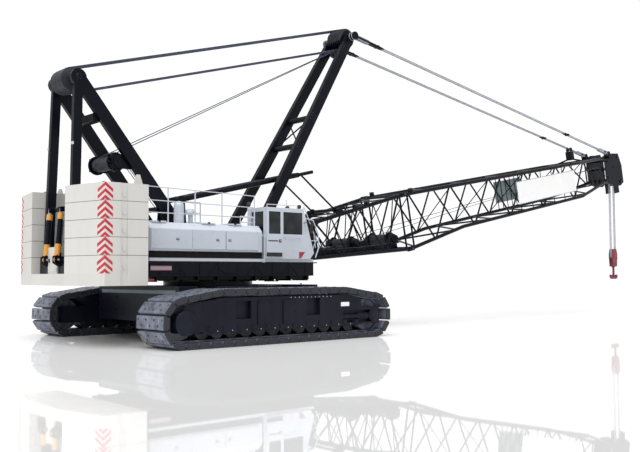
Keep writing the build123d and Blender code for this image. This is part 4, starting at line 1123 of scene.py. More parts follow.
@dataclass
class TrackTrim:
    """Bolts, pins, covers and plates of one crawler and its side frame."""

    shop: Workshop
    side: Side
    middle: float = 3.405
    wheel_x: float = 3.34
    wheel_z: float = 0.68
    turn_radius: float = 0.595
    top_half: float = 2.2
    high_z: float = 1.455
    lean: float = 81.4
    shoe_count: int = 46
    shoe_half: float = 0.705
    skin: float = 0.085
    bolt_rows: Pair = (-0.075, 0.075)
    bolts_across: int = 7
    bolt_pitch: float = 0.2
    pin_x: float = 0.115
    pin_z: float = 0.025
    face: float = 4.05
    pad_face: float = 4.08
    pad_spans: Outline = ((-1.07, -0.61), (-0.19, 0.30))
    pad_bolts_z: Point = (0.61, 0.875, 1.14)
    pad_bolt_inset: float = 0.06
    cover_face: float = 4.11
    cover_bolts: int = 18
    cover_bolt_radius: float = 0.26
    roller_count: int = 12
    roller_reach: float = 2.615
    roller_z: float = 0.50
    cap_bolt_half: float = 0.05
    top_bolts: int = 11
    cheek: Outline = ((-3.42, 0.62), (-3.42, 1.07), (-3.20, 1.17), (-2.79, 1.24), (-2.79, 0.62))
    # radius and height of each turned cover
    cap: Outline = ((0.0, 0.0), (0.075, 0.0), (0.075, 0.012), (0.055, 0.022), (0.0, 0.022))
    hub: Outline = ((0.0, 0.0), (0.14, 0.0), (0.14, 0.006), (0.12, 0.018), (0.05, 0.022), (0.0, 0.022))
    idler: Outline = ((0.0, 0.0), (0.20, 0.0), (0.20, 0.02), (0.17, 0.04), (0.08, 0.045), (0.0, 0.045))

    def build(self) -> None:
        """Makes the crawler's trim."""
        self._shoe_bolts()
        self._frame_trim()
        self._drive_cover()

    def _runs(self) -> list[tuple[float, float, float, float, float]]:
        """The stretches of the shoes' middle line.

        Returns:
            Each one's length, starting x and z, heading and bend radius. A straight one has no radius.
        """
        bend = math.radians(90.0 + self.lean)
        arc = self.turn_radius * bend
        top_x = self.wheel_x + self.turn_radius * math.cos(math.radians(self.lean))
        top_z = self.wheel_z + self.turn_radius * math.sin(math.radians(self.lean))
        ramp = math.hypot(top_x - self.top_half, self.high_z - top_z)
        low = self.wheel_z - self.turn_radius
        return [
            (arc, self.wheel_x, low, 0.0, self.turn_radius),
            (ramp, top_x, top_z, bend, 0.0),
            (2 * self.top_half, self.top_half, self.high_z, math.pi, 0.0),
            (ramp, -self.top_half, self.high_z, math.tau - bend, 0.0),
            (arc, -top_x, top_z, math.tau - bend, self.turn_radius),
            (2 * self.wheel_x, -self.wheel_x, low, math.tau, 0.0),
        ]

    def _station(self, distance: float) -> Matrix:
        """The frame at a distance along the shoes' line, with X along it and Z towards its inside.

        Args:
            distance: How far along, from under the front wheel.

        Returns:
            The frame.
        """
        for length, x, z, heading, radius in self._runs():
            if distance <= length:
                break
            distance -= length
        if radius:
            x, z = x - radius * math.sin(heading), z + radius * math.cos(heading)
            heading += distance / radius
            x, z = x + radius * math.sin(heading), z - radius * math.cos(heading)
        else:
            x, z = x + distance * math.cos(heading), z + distance * math.sin(heading)
        place = Matrix.Translation((x, self.side.value * self.middle, z))
        return place @ Matrix.Rotation(-heading, 4, "Y")

    def _shoe_bolts(self) -> None:
        """Sets two staggered rows of bolts on each shoe off the ground, and pin heads on its outer end."""
        total = sum(run[0] for run in self._runs())
        stations = [self._station(total * (rank + 0.5) / self.shoe_count) for rank in range(self.shoe_count)]
        form = Form(f"shoe_bolts_{self.side.name.lower()}", "undercarriage")
        bolts = form.unit()
        top = -self.skin - 0.007
        for rank, y in enumerate(ranks(self.bolts_across, self.bolt_pitch)):
            x = self.bolt_rows[rank % 2]
            bolts.bar((x, y, -self.skin), (x, y, top), 0.034, Finish.RUBBER, sides=8, tip=0.028)
        form.stamp(bolts, [place for place in stations if place.translation.z > 4 * self.skin])
        pins = form.unit()
        end = self.side.value * self.shoe_half
        out = end + self.side.value * 0.012
        for x in (-self.pin_x, self.pin_x):
            pins.bar((x, end, self.pin_z), (x, out, self.pin_z), 0.022, Finish.SHEAVE, sides=8, tip=0.018)
        form.stamp(pins, stations)
        self.shop.place(form)

    def _frame_trim(self) -> None:
        """Bolts the roller caps, the pads and the inspection covers to the side frame's outer face."""
        sign = float(self.side.value)
        form = Form(f"side_frame_trim_{self.side.name.lower()}", "undercarriage")
        out = (0.0, sign, 0.0)
        face = sign * self.face
        half_pitch = self.roller_reach / (self.roller_count - 1)
        halves = (-self.cap_bolt_half, self.cap_bolt_half)
        for rank, x in enumerate(ranks(self.roller_count, 2 * half_pitch)):
            form.boss((x, face, self.roller_z), sign, self.cap, Finish.FRAME, steps=16)
            cap_y = face + sign * 0.012
            form.bolts([(x + dx, cap_y, self.roller_z + dz) for dx in halves for dz in halves], out, 0.013,
                       Finish.FRAME)
            # Painted glint: a bright steel bolt low between each two rollers stands for a glint on the frame
            if rank:
                form.bolts([(x - half_pitch, face, 0.44)], out, 0.016, Finish.BOLT)
        spots = [(0.1 + 0.15 * rank, face, 1.27) for rank in range(self.top_bolts)]
        form.bolts(spots, out, 0.016, Finish.BOLT)
        for low, high in self.pad_spans:
            middle = (low + high) / 2
            spots = [
                (x, sign * self.pad_face, z)
                for x in (low + self.pad_bolt_inset, middle, high - self.pad_bolt_inset)
                for z in self.pad_bolts_z
                if x != middle or z != self.pad_bolts_z[1]
            ]
            form.bolts(spots, out, 0.022, Finish.FRAME)
        if self.side is Side.RIGHT:
            form.block((2.0, face - 0.006, 0.97), (2.33, face + 0.002, 1.09), Finish.BLANK, 0.001)
        form.plate(self.cheek, *beside(sign, 4.0, 4.044), Finish.FRAME, 0.004)
        self.shop.place(form)

    def _drive_cover(self) -> None:
        """Rings the final drive's cover with bolts and caps both end wheels' axles."""
        sign = float(self.side.value)
        face = sign * self.cover_face
        form = Form(f"drive_cover_bolts_{self.side.name.lower()}", "undercarriage")
        x, z = self.wheel_x, self.wheel_z
        spots = circle((-x, face - sign * 0.01, z), self.cover_bolt_radius, self.cover_bolts)
        form.bolts(spots, (0.0, sign, 0.0), 0.020, Finish.FRAME)
        form.boss((-x, face - sign * 0.008, z), sign, self.hub, Finish.FRAME, steps=24)
        form.boss((x, sign * (self.face - 0.01), z), sign, self.idler, Finish.FRAME, steps=24)
        self.shop.place(form)


@dataclass
class DeckTrim:
    """Blank plates, lamps, steps and rails along the decks and the carbody's weights."""

    shop: Workshop
    deck_face: float = 1.75
    cab_face: float = 1.83
    plate_x: Pair = (-3.07, -2.40)
    plate_z: Pair = (2.04, 2.18)
    plate_edge: float = 0.02
    lamp_y: float = 1.60
    mark_xs: Point = (-2.2, -0.3, 1.6)
    wedge: Outline = ((2.24, 2.43), (2.30, 2.43), (2.48, 2.63), (2.24, 2.63))
    girder_x: Pair = (-3.02, 2.82)
    girder_y: Pair = (1.52, 1.62)
    girder_z: Pair = (1.76, 1.875)
    rib_count: int = 9
    rib_start: float = -2.85
    rib_pitch: float = 0.69
    rib_y: Pair = (0.95, 1.73)
    pipe_count: int = 3
    pipe_pitch: float = 0.07
    gusset_start: float = -2.2
    gusset_pitch: float = 1.38
    gusset_count: int = 4
    step_x: Pair = (1.00, 1.46)
    step_z: Pair = (1.70, 1.73)
    grab_x: float = 0.84
    grab_z: Pair = (2.30, 3.10)
    weight_x: Pair = (1.50, 2.45)
    weight_y: float = 1.30
    weight_z: Pair = (1.20, 1.60)
    lid_y: Pair = (1.60, 2.30)
    hose_count: int = 5
    hose_start: float = 1.42
    hose_pitch: float = 0.07
    band_y: float = 2.20
    eye_y: float = 1.75

    def build(self) -> None:
        """Makes the decks' trim and the weights' bands."""
        form = Form("deck_plates_and_lamps", "upperworks")
        self._side_plate(form)
        for sign in SIGNS:
            self._lamps(form, sign)
        form.plate(self.wedge, -self.cab_face - 0.009, -self.cab_face + 0.002, Finish.RED)
        for sign in SIGNS:
            self._girder(form, sign)
        self._cab_step(form)
        self.shop.place(form)
        self._weight_bands()

    def _side_plate(self, form: Form) -> None:
        """Puts a bare plate with two red edges on the near deck's side.

        Args:
            form: The piece.
        """
        face = -self.deck_face
        (rear, front), (low, high) = self.plate_x, self.plate_z
        form.block((rear, face - 0.030, low), (front, face + 0.002, high), Finish.PENDANT, 0.001)
        for start, end in ((low, low + self.plate_edge), (high - self.plate_edge, high)):
            form.block((rear, face - 0.033, start), (front, face - 0.028, end), Finish.RED, 0.001)

    def _lamps(self, form: Form, sign: float) -> None:
        """Hangs a lamp under one deck's rear end and puts three ribs on its side.

        Args:
            form: The piece.
            sign: The side of it.
        """
        y = sign * self.lamp_y
        form.block((-3.13, y - 0.08, 1.75), (-2.88, y + 0.08, 1.81), Finish.LAMP, 0.012)
        form.block((-3.08, y - 0.05, 1.80), (-2.93, y + 0.05, 1.90), Finish.RUBBER, 0.004)
        low, high = beside(sign, 1.752, 1.775)
        for x in self.mark_xs:
            form.block((x - 0.22, low, 1.95), (x + 0.22, high, 1.985), Finish.BLACK, 0.004)

    def _girder(self, form: Form, sign: float) -> None:
        """Hangs a girder with ribs and pipes under one deck, and puts gussets on its side.

        Args:
            form: The piece.
            sign: The side of it.
        """
        low, high = beside(sign, *self.girder_y)
        (rear, front), (bottom, top) = self.girder_x, self.girder_z
        form.block((rear, low, bottom), (front, high, top), Finish.BLACK, 0.008)
        near, far = beside(sign, *self.rib_y)
        for rank in range(self.rib_count):
            x = self.rib_start + rank * self.rib_pitch
            form.block((x - 0.02, near, 1.72), (x + 0.02, far, top), Finish.BLACK, 0.004)
        for rank in range(self.pipe_count):
            y = sign * (1.22 + rank * self.pipe_pitch)
            form.bar((-2.95, y, 1.80), (2.75, y, 1.80), 0.020, Finish.RUBBER)
        near, far = beside(sign, 1.748, 1.764)
        for rank in range(self.gusset_count):
            x = self.gusset_start + rank * self.gusset_pitch
            outer = ((x - 0.34, 1.90), (x, 2.26), (x + 0.34, 1.90))
            inner = ((x + 0.28, 1.90), (x, 2.19), (x - 0.28, 1.90))
            form.plate(outer + inner, near, far, Finish.BLACK)

    def _cab_step(self, form: Form) -> None:
        """Hangs one open step below the side deck and a grab rail beside the cab's door.

        Args:
            form: The piece.
        """
        (rear, front), (bottom, top) = self.step_x, self.step_z
        form.block((rear, -1.75, bottom), (front, -1.62, top), Finish.BLACK, 0.004)
        for x in (rear - 0.01, front + 0.01):
            form.bar((x, -1.72, bottom), (x, -1.72, 1.90), 0.016, Finish.BLACK)
        x, (low, high) = self.grab_x, self.grab_z
        points = ((x, -1.74, low), (x, -1.86, low), (x, -1.86, high), (x, -1.76, high))
        form.pipe(points, 0.016, Finish.WHITE)

    def _weight_bands(self) -> None:
        """Gives the carbody's weights a plain grey band, lids, hoses, lifting eyes and tie bolts."""
        low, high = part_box("carbody_counterweights")
        form = Form("carbody_weight_trim", "undercarriage")
        for sign in SIGNS:
            near, far = beside(sign, *self.weight_x)
            (bottom, top), half = self.weight_z, self.weight_y
            form.block((near, -half, bottom), (far, half, top), Finish.BLACK, 0.03)
            near, far = beside(sign, *self.lid_y)
            form.block((-1.2, near, 1.44), (1.2, far, 1.58), Finish.BLACK, 0.02)
            for rank in range(self.hose_count):
                y = sign * (self.hose_start + self.hose_pitch * rank)
                straight = ((-1.3, y, 1.52), (0.2, y, 1.54))
                bent = ((0.9, y + sign * 0.35, 1.52), (1.4, y + sign * 0.95, 1.40))
                form.pipe(straight + bent, 0.018, Finish.RUBBER, sides=6)
        for x, out in ((low[0], -1.0), (high[0], 1.0)):
            near, far = sorted((x - out * 0.002, x + out * 0.006))
            form.block((near, -self.band_y, 1.38), (far, self.band_y, 1.48), Finish.CLOTH, 0.001)
            spots = [(x, y, z) for y in (-2.25, -1.2, 1.2, 2.25) for z in (0.86, 1.26)]
            form.bolts(spots, (out, 0.0, 0.0), 0.035, Finish.BLACK)
            for y in (-self.eye_y, self.eye_y):
                form.hoop((x - out * 0.16, y, high[2]), 0.035, 0.012, Finish.BLACK, sweep=180.0)
        self.shop.place(form)


@dataclass
class HouseTrim:
    """Handles, locks, louvres and lamps of the machinery house on one side."""

    shop: Workshop
    side: Side
    face: float = 1.788
    handles: Point = (-2.21, -0.84, -0.41)
    slat_count: int = 9
    slat_pitch: float = 0.042
    slat_inset: float = 0.15
    roof_z: float = 3.42
    roof_y: float = 1.36
    hatches: Point = (-2.72, -1.05, -0.10)
    frame_x: Pair = (0.18, 0.66)
    frame_z: Pair = (3.40, 3.70)
    rail_z: float = 3.52
    intake_x: float = -1.45
    intake_y: float = -1.25
    dome: Outline = ((0.0, 0.0), (0.17, 0.0), (0.18, 0.05), (0.14, 0.13), (0.06, 0.17), (0.0, 0.175))
    lamp: Outline = ((0.0, 0.0), (0.055, 0.0), (0.085, 0.06), (0.085, 0.10), (0.0, 0.10))

    def build(self) -> None:
        """Makes the doors' fittings and the roof's."""
        for rank, x in enumerate(self.handles, start=1):
            self._door(rank, x)
        self._roof()

    def _door(self, rank: int, x: float) -> None:
        """Gives one door its handle and lock, and louvres on the far side.

        Args:
            rank: The door's number from the rear.
            x: Where its handle is.
        """
        name = f"house_door_{self.side.name.lower()}_{rank}"
        low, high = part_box(name)
        sign, face = self.side.value, self.face
        form = Form(f"{name}_fittings", name)
        near, far = beside(sign, face - 0.004, face + 0.014)
        form.block((x - 0.05, near, 2.91), (x + 0.05, far, 2.97), Finish.SHEAVE, 0.004)
        near, far = beside(sign, face + 0.010, face + 0.024)
        form.block((x - 0.045, near, 2.93), (x + 0.045, far, 2.955), Finish.BOLT, 0.003)
        if self.side is Side.LEFT:
            self._louvres(form, low[0] + self.slat_inset, high[0] - self.slat_inset, low[2] + 0.10)
        self.shop.place(form)

    def _louvres(self, form: Form, rear: float, front: float, low: float) -> None:
        """Lays light slats on a door, with a thin black strip between each two as painted shade in the
        louvre's gaps.

        Args:
            form: The piece.
            rear: Where they start along the door.
            front: Where they end.
            low: The lowest one's height.
        """
        sign, face = self.side.value, self.face
        for slat in range(self.slat_count):
            z = low + slat * self.slat_pitch
            near, far = beside(sign, face - 0.004, face + 0.010)
            form.block((rear, near, z), (front, far, z + 0.016), Finish.WHITE, 0.003)
            # Painted shade: a flat black strip fills the gap above each slat
            near, far = beside(sign, face - 0.004, face + 0.002)
            form.block((rear, near, z + 0.016), (front, far, z + 0.040), Finish.RUBBER, 0.0)

    def _roof(self) -> None:
        """Puts the hatches on the roof, and the rest of its fittings on the operator's side."""
        y, z = self.side.value * self.roof_y, self.roof_z
        form = Form(f"house_roof_trim_{self.side.name.lower()}", "upperworks")
        white, black = Finish.WHITE, Finish.BLACK
        for x in self.hatches:
            form.block((x - 0.24, y - 0.26, z - 0.01), (x + 0.24, y + 0.26, z + 0.035), white, 0.010)
            form.block((x - 0.03, y - 0.30, z + 0.005), (x + 0.03, y - 0.25, z + 0.05), black, 0.004)
        if self.side is Side.RIGHT:
            self._near_roof(form)
        self.shop.place(form)

    def _near_roof(self, form: Form) -> None:
        """Stands a low rail, the air intake and the lamp post on the operator's side of the roof.

        Args:
            form: The piece.
        """
        (rear, front), (low, high), side = self.frame_x, self.frame_z, -1.50
        frame = ((rear, side, low), (rear, side, high), (front, side, high), (front, side, low))
        form.pipe(frame, 0.016, Finish.WHITE)
        form.bar((rear, side, self.rail_z), (front, side, self.rail_z), 0.014, Finish.WHITE)
        x, y, foot = self.intake_x, self.intake_y, self.roof_z - 0.01
        form.bar((x, y, foot), (x, y, 3.74), 0.07, Finish.WHITE, sides=20)
        form.lathe((x, y, 3.70), (x, y, 4.0), self.dome, Finish.WHITE)
        form.bar((0.62, -1.30, foot), (0.62, -1.30, 4.10), 0.022, Finish.WHITE)
        form.lathe((0.58, -1.30, 4.12), (0.74, -1.36, 4.07), self.lamp, Finish.RUBBER)


@dataclass
class CabTrim:
    """The cab's fittings, outside and in."""

    shop: Workshop
    face: float = 1.83
    roof_z: float = 4.01
    rail_x: Pair = (0.99, 2.20)
    rail_y: float = -1.78
    rail_z: float = 4.10
    sill_x: Pair = (1.64, 2.26)
    sill_z: float = 3.08
    lamp_x: float = 2.32
    lamps_y: Pair = (-1.70, -1.10)
    lever_half: float = 0.33
    # height above the seat's foot at which the levers stand, as a share of the seat's height
    console_share: float = 0.42
    lamp: Outline = ((0.0, 0.0), (0.05, 0.0), (0.075, 0.05), (0.075, 0.085), (0.0, 0.085))
    knob: Outline = ((0.0, 0.0), (0.018, 0.0), (0.027, 0.03), (0.024, 0.07), (0.0, 0.085))

    def build(self) -> None:
        """Makes the cab's fittings."""
        self._door()
        self._outside()
        self._inside()

    def _door(self) -> None:
        """Gives the cab's door its slot, handle and lower black band."""
        form = Form("cab_door_fittings", "cab_door")
        form.block((0.97, -1.874, 2.945), (1.36, -1.862, 2.98), Finish.RUBBER, 0.003)
        form.block((1.39, -1.880, 2.915), (1.49, -1.862, 3.01), Finish.RUBBER, 0.004)
        form.block((1.40, -1.896, 2.950), (1.48, -1.876, 2.98), Finish.BOLT, 0.004)
        form.block((0.915, -1.872, 2.475), (1.525, -1.862, 2.60), Finish.RUBBER, 0.002)
        self.shop.place(form)

    def _outside(self) -> None:
        """Puts the lamps, mirror, rails, wiper and aerial on the cab."""
        form = Form("cab_outside_fittings", "upperworks")
        side, roof, x = -self.face, self.roof_z, self.lamp_x
        for y in self.lamps_y:
            form.bar((x, y, roof - 0.01), (x, y, roof + 0.06), 0.015, Finish.RUBBER)
            form.lathe((x - 0.03, y, roof + 0.075), (x + 0.13, y, roof + 0.055), self.lamp, Finish.RUBBER)
        arm = ((2.42, side + 0.02, 3.55), (2.62, side - 0.16, 3.62), (2.62, side - 0.16, 3.50))
        form.pipe(arm, 0.011, Finish.RUBBER)
        form.block((2.60, side - 0.24, 3.22), (2.63, side - 0.09, 3.52), Finish.RUBBER, 0.008)
        self._rails(form)
        form.bar((2.805, -1.42, 2.80), (2.74, -1.30, 3.10), 0.008, Finish.RUBBER)
        form.bar((2.775, -1.34, 2.92), (2.62, -1.16, 3.46), 0.010, Finish.RUBBER, sides=6)
        form.bar((2.30, -1.10, roof), (2.30, -1.10, roof + 0.35), 0.006, Finish.RUBBER)
        self.shop.place(form)

    def _rails(self, form: Form) -> None:
        """Bends the white rails along the window sill, the roof's edge and the front corner.

        Args:
            form: The piece.
        """
        side, (rear, front), z = -self.face, self.sill_x, self.sill_z
        sill = ((rear, side, z), (rear, side - 0.06, z), (front, side - 0.06, z), (front, side, z))
        form.pipe(sill, 0.014, Finish.WHITE)
        (rear, front), y, z, foot = self.rail_x, self.rail_y, self.rail_z, self.roof_z - 0.01
        form.pipe(((rear, y, foot), (rear, y, z), (front, y, z), (front, y, foot)), 0.014, Finish.WHITE)
        out = side - 0.02
        corner = [(x, out, z) for x, z in ((2.80, 3.66), (3.02, 3.25), (3.05, 2.80), (2.90, 2.45))]
        form.pipe([(2.50, side + 0.03, 3.72), *corner], 0.020, Finish.WHITE)
        form.bar((2.70, side + 0.01, 3.0), (3.04, out, 3.0), 0.014, Finish.WHITE)

    def _inside(self) -> None:
        """Sets the headrest, consoles, levers, screen and sun visor round the seat."""
        low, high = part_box("operator_seat")
        (rear, _, foot), (front, _, top) = low, high
        middle = (low[1] + high[1]) / 2
        form = Form("cab_inside_fittings", "upperworks")
        form.block((rear + 0.02, middle - 0.13, top - 0.02), (rear + 0.10, middle + 0.13, top + 0.14),
                   Finish.SEAT, 0.025)
        base = foot + (top - foot) * self.console_share
        for sign in SIGNS:
            y = middle + sign * self.lever_half
            form.block((rear + 0.22, y - 0.055, foot + 0.02), (front + 0.02, y + 0.055, base + 0.06),
                       Finish.RUBBER, 0.015)
            form.bar((front - 0.06, y, base + 0.05), (front - 0.04, y, base + 0.19), 0.012, Finish.RUBBER)
            start, end = (front - 0.04, y, base + 0.17), (front - 0.03, y, base + 0.30)
            form.lathe(start, end, self.knob, Finish.RUBBER, steps=14)
        form.block((2.36, -1.74, 2.95), (2.42, -1.50, 3.16), Finish.RUBBER, 0.010)
        form.bar((2.39, -1.62, 2.42), (2.39, -1.62, 2.98), 0.018, Finish.RUBBER)
        form.block((2.26, -1.76, 3.80), (2.40, -1.05, 3.83), Finish.RUBBER, 0.008)
        self.shop.place(form)


@dataclass
class WeightTrim:
    """The counterweight's eyes and pins, the rear box's fittings and the gantry's rams behind the house."""

    shop: Workshop
    eyes_x: Pair = (-4.75, -4.10)
    eyes_y: Pair = (1.45, 2.25)
    top_z: float = 4.32
    foot_z: float = 1.96
    slab_count: int = 5
    slab_height: float = 0.472
    pin_x: Pair = (-3.695, -3.655)
    pin_y: float = 2.45
    ram_foot: Pair = (-5.17, 2.35)
    ram_head: Pair = (-5.07, 3.70)
    ram_half: float = 0.37
    cross_x: float = -4.95
    cross_half: float = 0.80
    ear_thickness: float = 0.025
    # outlines of the ears at a ram's foot, and at its head above the head's own height
    foot_ear: Outline = ((-5.27, 2.26), (-5.27, 2.44), (-5.08, 2.56), (-5.08, 2.14))
    head_ear: Outline = ((-5.13, -0.03), (-5.13, 0.11), (-4.93, 0.13), (-4.93, -0.01))
    # start and end as shares of a ram's length, radius, finish and number of sides
    ram_parts: tuple[tuple[float, float, float, Finish, int], ...] = (
        (0.00, 0.10, 0.055, Finish.BLACK, 16),
        (0.08, 0.32, 0.088, Finish.ORANGE, 20),
        (0.30, 0.84, 0.074, Finish.BLACK, 20),
        (0.83, 0.95, 0.084, Finish.ORANGE, 20),
        (0.94, 1.06, 0.045, Finish.BOLT, 16),
    )
    ram_eye: Outline = ((0.0, -0.05), (0.085, -0.05), (0.085, 0.05), (0.0, 0.05))
    hose_shares: Point = (0.28, 0.5, 0.80)

    def build(self) -> None:
        """Makes the counterweight's trim and the rams."""
        form = Form("counterweight_fittings", "upperworks")
        for sign in SIGNS:
            self._stack(form, sign)
        self._rear_box(form)
        self.shop.place(form)
        rams = Form("gantry_rams", "upperworks")
        rams.axle(self.cross_x, self.ram_head[1] + 0.06, self.cross_half, 0.06, Finish.BLACK, sides=20)
        for sign in SIGNS:
            self._ram(rams, sign)
        self.shop.place(rams)

    def _stack(self, form: Form, sign: float) -> None:
        """Adds one stack's lifting eyes and slab pins.

        Args:
            form: The piece.
            sign: The stack's side.
        """
        for x in self.eyes_x:
            for y in self.eyes_y:
                form.hoop((x, sign * y, self.top_z), 0.055, 0.014, Finish.BLACK, -15.0, 210.0, steps=10)
        (start, end), y = self.pin_x, sign * self.pin_y
        for rank in range(self.slab_count):
            z = self.foot_z + self.slab_height * (rank + 0.5)
            form.bar((start, y, z), (end, y, z), 0.035, Finish.BLACK, tip=0.028)

    @staticmethod
    def _rear_box(form: Form) -> None:
        """Adds the rear box's hinges and catch.

        Args:
            form: The piece.
        """
        low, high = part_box("rear_service_box")
        x, y = low[0] - 0.004, low[1] + 0.02
        for z in (low[2] + 0.12, high[2] - 0.12):
            form.bar((x, y, z - 0.05), (x, y, z + 0.05), 0.014, Finish.BOLT)
        x, y, z = low[0], high[1], (low[2] + high[2]) / 2
        form.block((x - 0.018, y - 0.14, z - 0.05), (x + 0.004, y - 0.06, z + 0.05), Finish.RUBBER, 0.005)

    def _on_ram(self, share: float, sign: float, out: float = 0.0) -> Vector:
        """A place on one ram.

        Args:
            share: How far along its axis, as a share of its length.
            sign: The ram's side.
            out: How far outside the axis it lies.

        Returns:
            The place.
        """
        (foot_x, foot_z), (head_x, head_z) = self.ram_foot, self.ram_head
        foot, head = Vector((foot_x, 0.0, foot_z)), Vector((head_x, 0.0, head_z))
        return foot.lerp(head, share) + Vector((0.0, sign * (self.ram_half + out), 0.0))

    def _ram(self, form: Form, sign: float) -> None:
        """Stands one ram between the stacks, from the bed's rear to the tube across the gantry's legs.

        Args:
            form: The piece.
            sign: The ram's side.
        """
        for start, end, radius, finish, sides in self.ram_parts:
            form.bar(self._on_ram(start, sign), self._on_ram(end, sign), radius, finish, sides)
        x, z = self.ram_foot
        y = sign * self.ram_half
        form.lathe((x, y, z), (x, y + 1.0, z), self.ram_eye, Finish.ORANGE, steps=20)
        for inner in (-0.085, 0.060):
            form.plate(self.foot_ear, y + inner, y + inner + self.ear_thickness, Finish.BLACK, 0.003)
        form.bar((x, y - 0.10, z), (x, y + 0.10, z), 0.03, Finish.BOLT)
        head_ear = [(ear_x, self.ram_head[1] + rise) for ear_x, rise in self.head_ear]
        for inner in (-0.075, 0.050):
            form.plate(head_ear, y + inner, y + inner + self.ear_thickness, Finish.BLACK, 0.003)
        hose = [self._on_ram(share, sign, 0.10) + Vector((0.05, 0.0, 0.0)) for share in self.hose_shares]
        form.pipe(hose, 0.013, Finish.RUBBER)


@dataclass
class GantryTrim:
    """The gantry's cross box, caps and bolts, and its winch's flanges and motor."""

    shop: Workshop
    box_x: Pair = (-4.32, -4.12)
    box_z: Pair = (6.24, 6.47)
    box_half: float = 0.70
    # along, across, height and radius of the pins' caps at the head, the rear foot and the front foot
    caps: tuple[tuple[float, float, float, float], ...] = (
        (-4.78, 0.80, 7.42, 0.10),
        (-4.90, 0.93, 2.84, 0.08),
        (-1.05, 0.93, 2.84, 0.09),
    )
    tag_x: Pair = (-4.985, -4.935)
    tag_z: Pair = (5.51, 5.59)
    winch: Pair = (-3.55, 5.16)
    winch_bolts: int = 12
    winch_bolt_radius: float = 0.235
    winch_bolt_y: float = 0.645
    winch_end_y: float = 0.62
    gearbox: Outline = (
        (0.0, 0.0), (0.19, 0.0), (0.19, 0.05), (0.15, 0.08), (0.15, 0.13), (0.09, 0.15), (0.0, 0.15)
    )
    pipe_foot: Point = (-1.25, 0.70, 3.05)
    pipe_top: Point = (-3.25, 0.66, 5.40)
    pipe_drop: float = 0.14
    pipe_gap: float = 0.045
    clip_shares: tuple[float, ...] = (0.15, 0.40, 0.65, 0.90)

    def build(self) -> None:
        """Makes the gantry's trim."""
        form = Form("gantry_fittings", "upperworks")
        (rear, front), (low, high) = self.box_x, self.box_z
        form.block((rear, -self.box_half, low), (front, self.box_half, high), Finish.BLACK, 0.012)
        (rear, front), (low, high) = self.tag_x, self.tag_z
        for sign in SIGNS:
            for x, reach, z, radius in self.caps:
                self._cap(form, (x, sign * reach, z), sign, radius)
            y = sign * 0.80
            form.block((rear, y - 0.03, low), (front, y + 0.03, high), Finish.CREAM, 0.002)
            self._winch_end(form, sign)
            self._pipes(form, sign)
        self.shop.place(form)

    @staticmethod
    def _cap(form: Form, centre: Point, sign: float, radius: float) -> None:
        """Adds a pin's cap with its ring of bolts.

        Args:
            form: The piece.
            centre: The cap's outer middle.
            sign: The side that it faces.
            radius: Its radius.
        """
        x, y, z = centre
        profile = ((0.0, -0.12), (radius, -0.12), (radius, -0.012), (radius * 0.86, 0.0), (0.0, 0.0))
        form.boss(centre, sign, profile, Finish.BLACK, steps=24)
        spots = circle((x, y - sign * 0.004, z), radius * 0.62, 6)
        form.bolts(spots, (0.0, sign, 0.0), 0.014, Finish.SHEAVE)

    def _winch_end(self, form: Form, sign: float) -> None:
        """Closes one end of the winch with a ring of bolts and a gearbox.

        Args:
            form: The piece.
            sign: The side of it.
        """
        x, z = self.winch
        spots = circle((x, sign * self.winch_bolt_y, z), self.winch_bolt_radius, self.winch_bolts)
        form.bolts(spots, (0.0, sign, 0.0), 0.016, Finish.SHEAVE)
        form.boss((x, sign * self.winch_end_y, z), sign, self.gearbox, Finish.BLACK)

    def _pipes(self, form: Form, sign: float) -> None:
        """Runs two hydraulic pipes with clips up the front leg to the winch.

        Args:
            form: The piece.
            sign: The side of it.
        """
        foot, top = Vector(self.pipe_foot), Vector(self.pipe_top)
        foot.y, top.y = sign * foot.y, sign * top.y
        for drop in (self.pipe_drop, self.pipe_drop + self.pipe_gap):
            lift = Vector((-drop, 0.0, -drop))
            form.bar(foot + lift, top + lift, 0.013, Finish.RUBBER, sides=6)
        for share in self.clip_shares:
            x, y, z = foot.lerp(top, share)
            low, high = (x - 0.22, y - 0.03, z - 0.20), (x - 0.10, y + 0.03, z - 0.10)
            form.block(low, high, Finish.BLACK, 0.004)


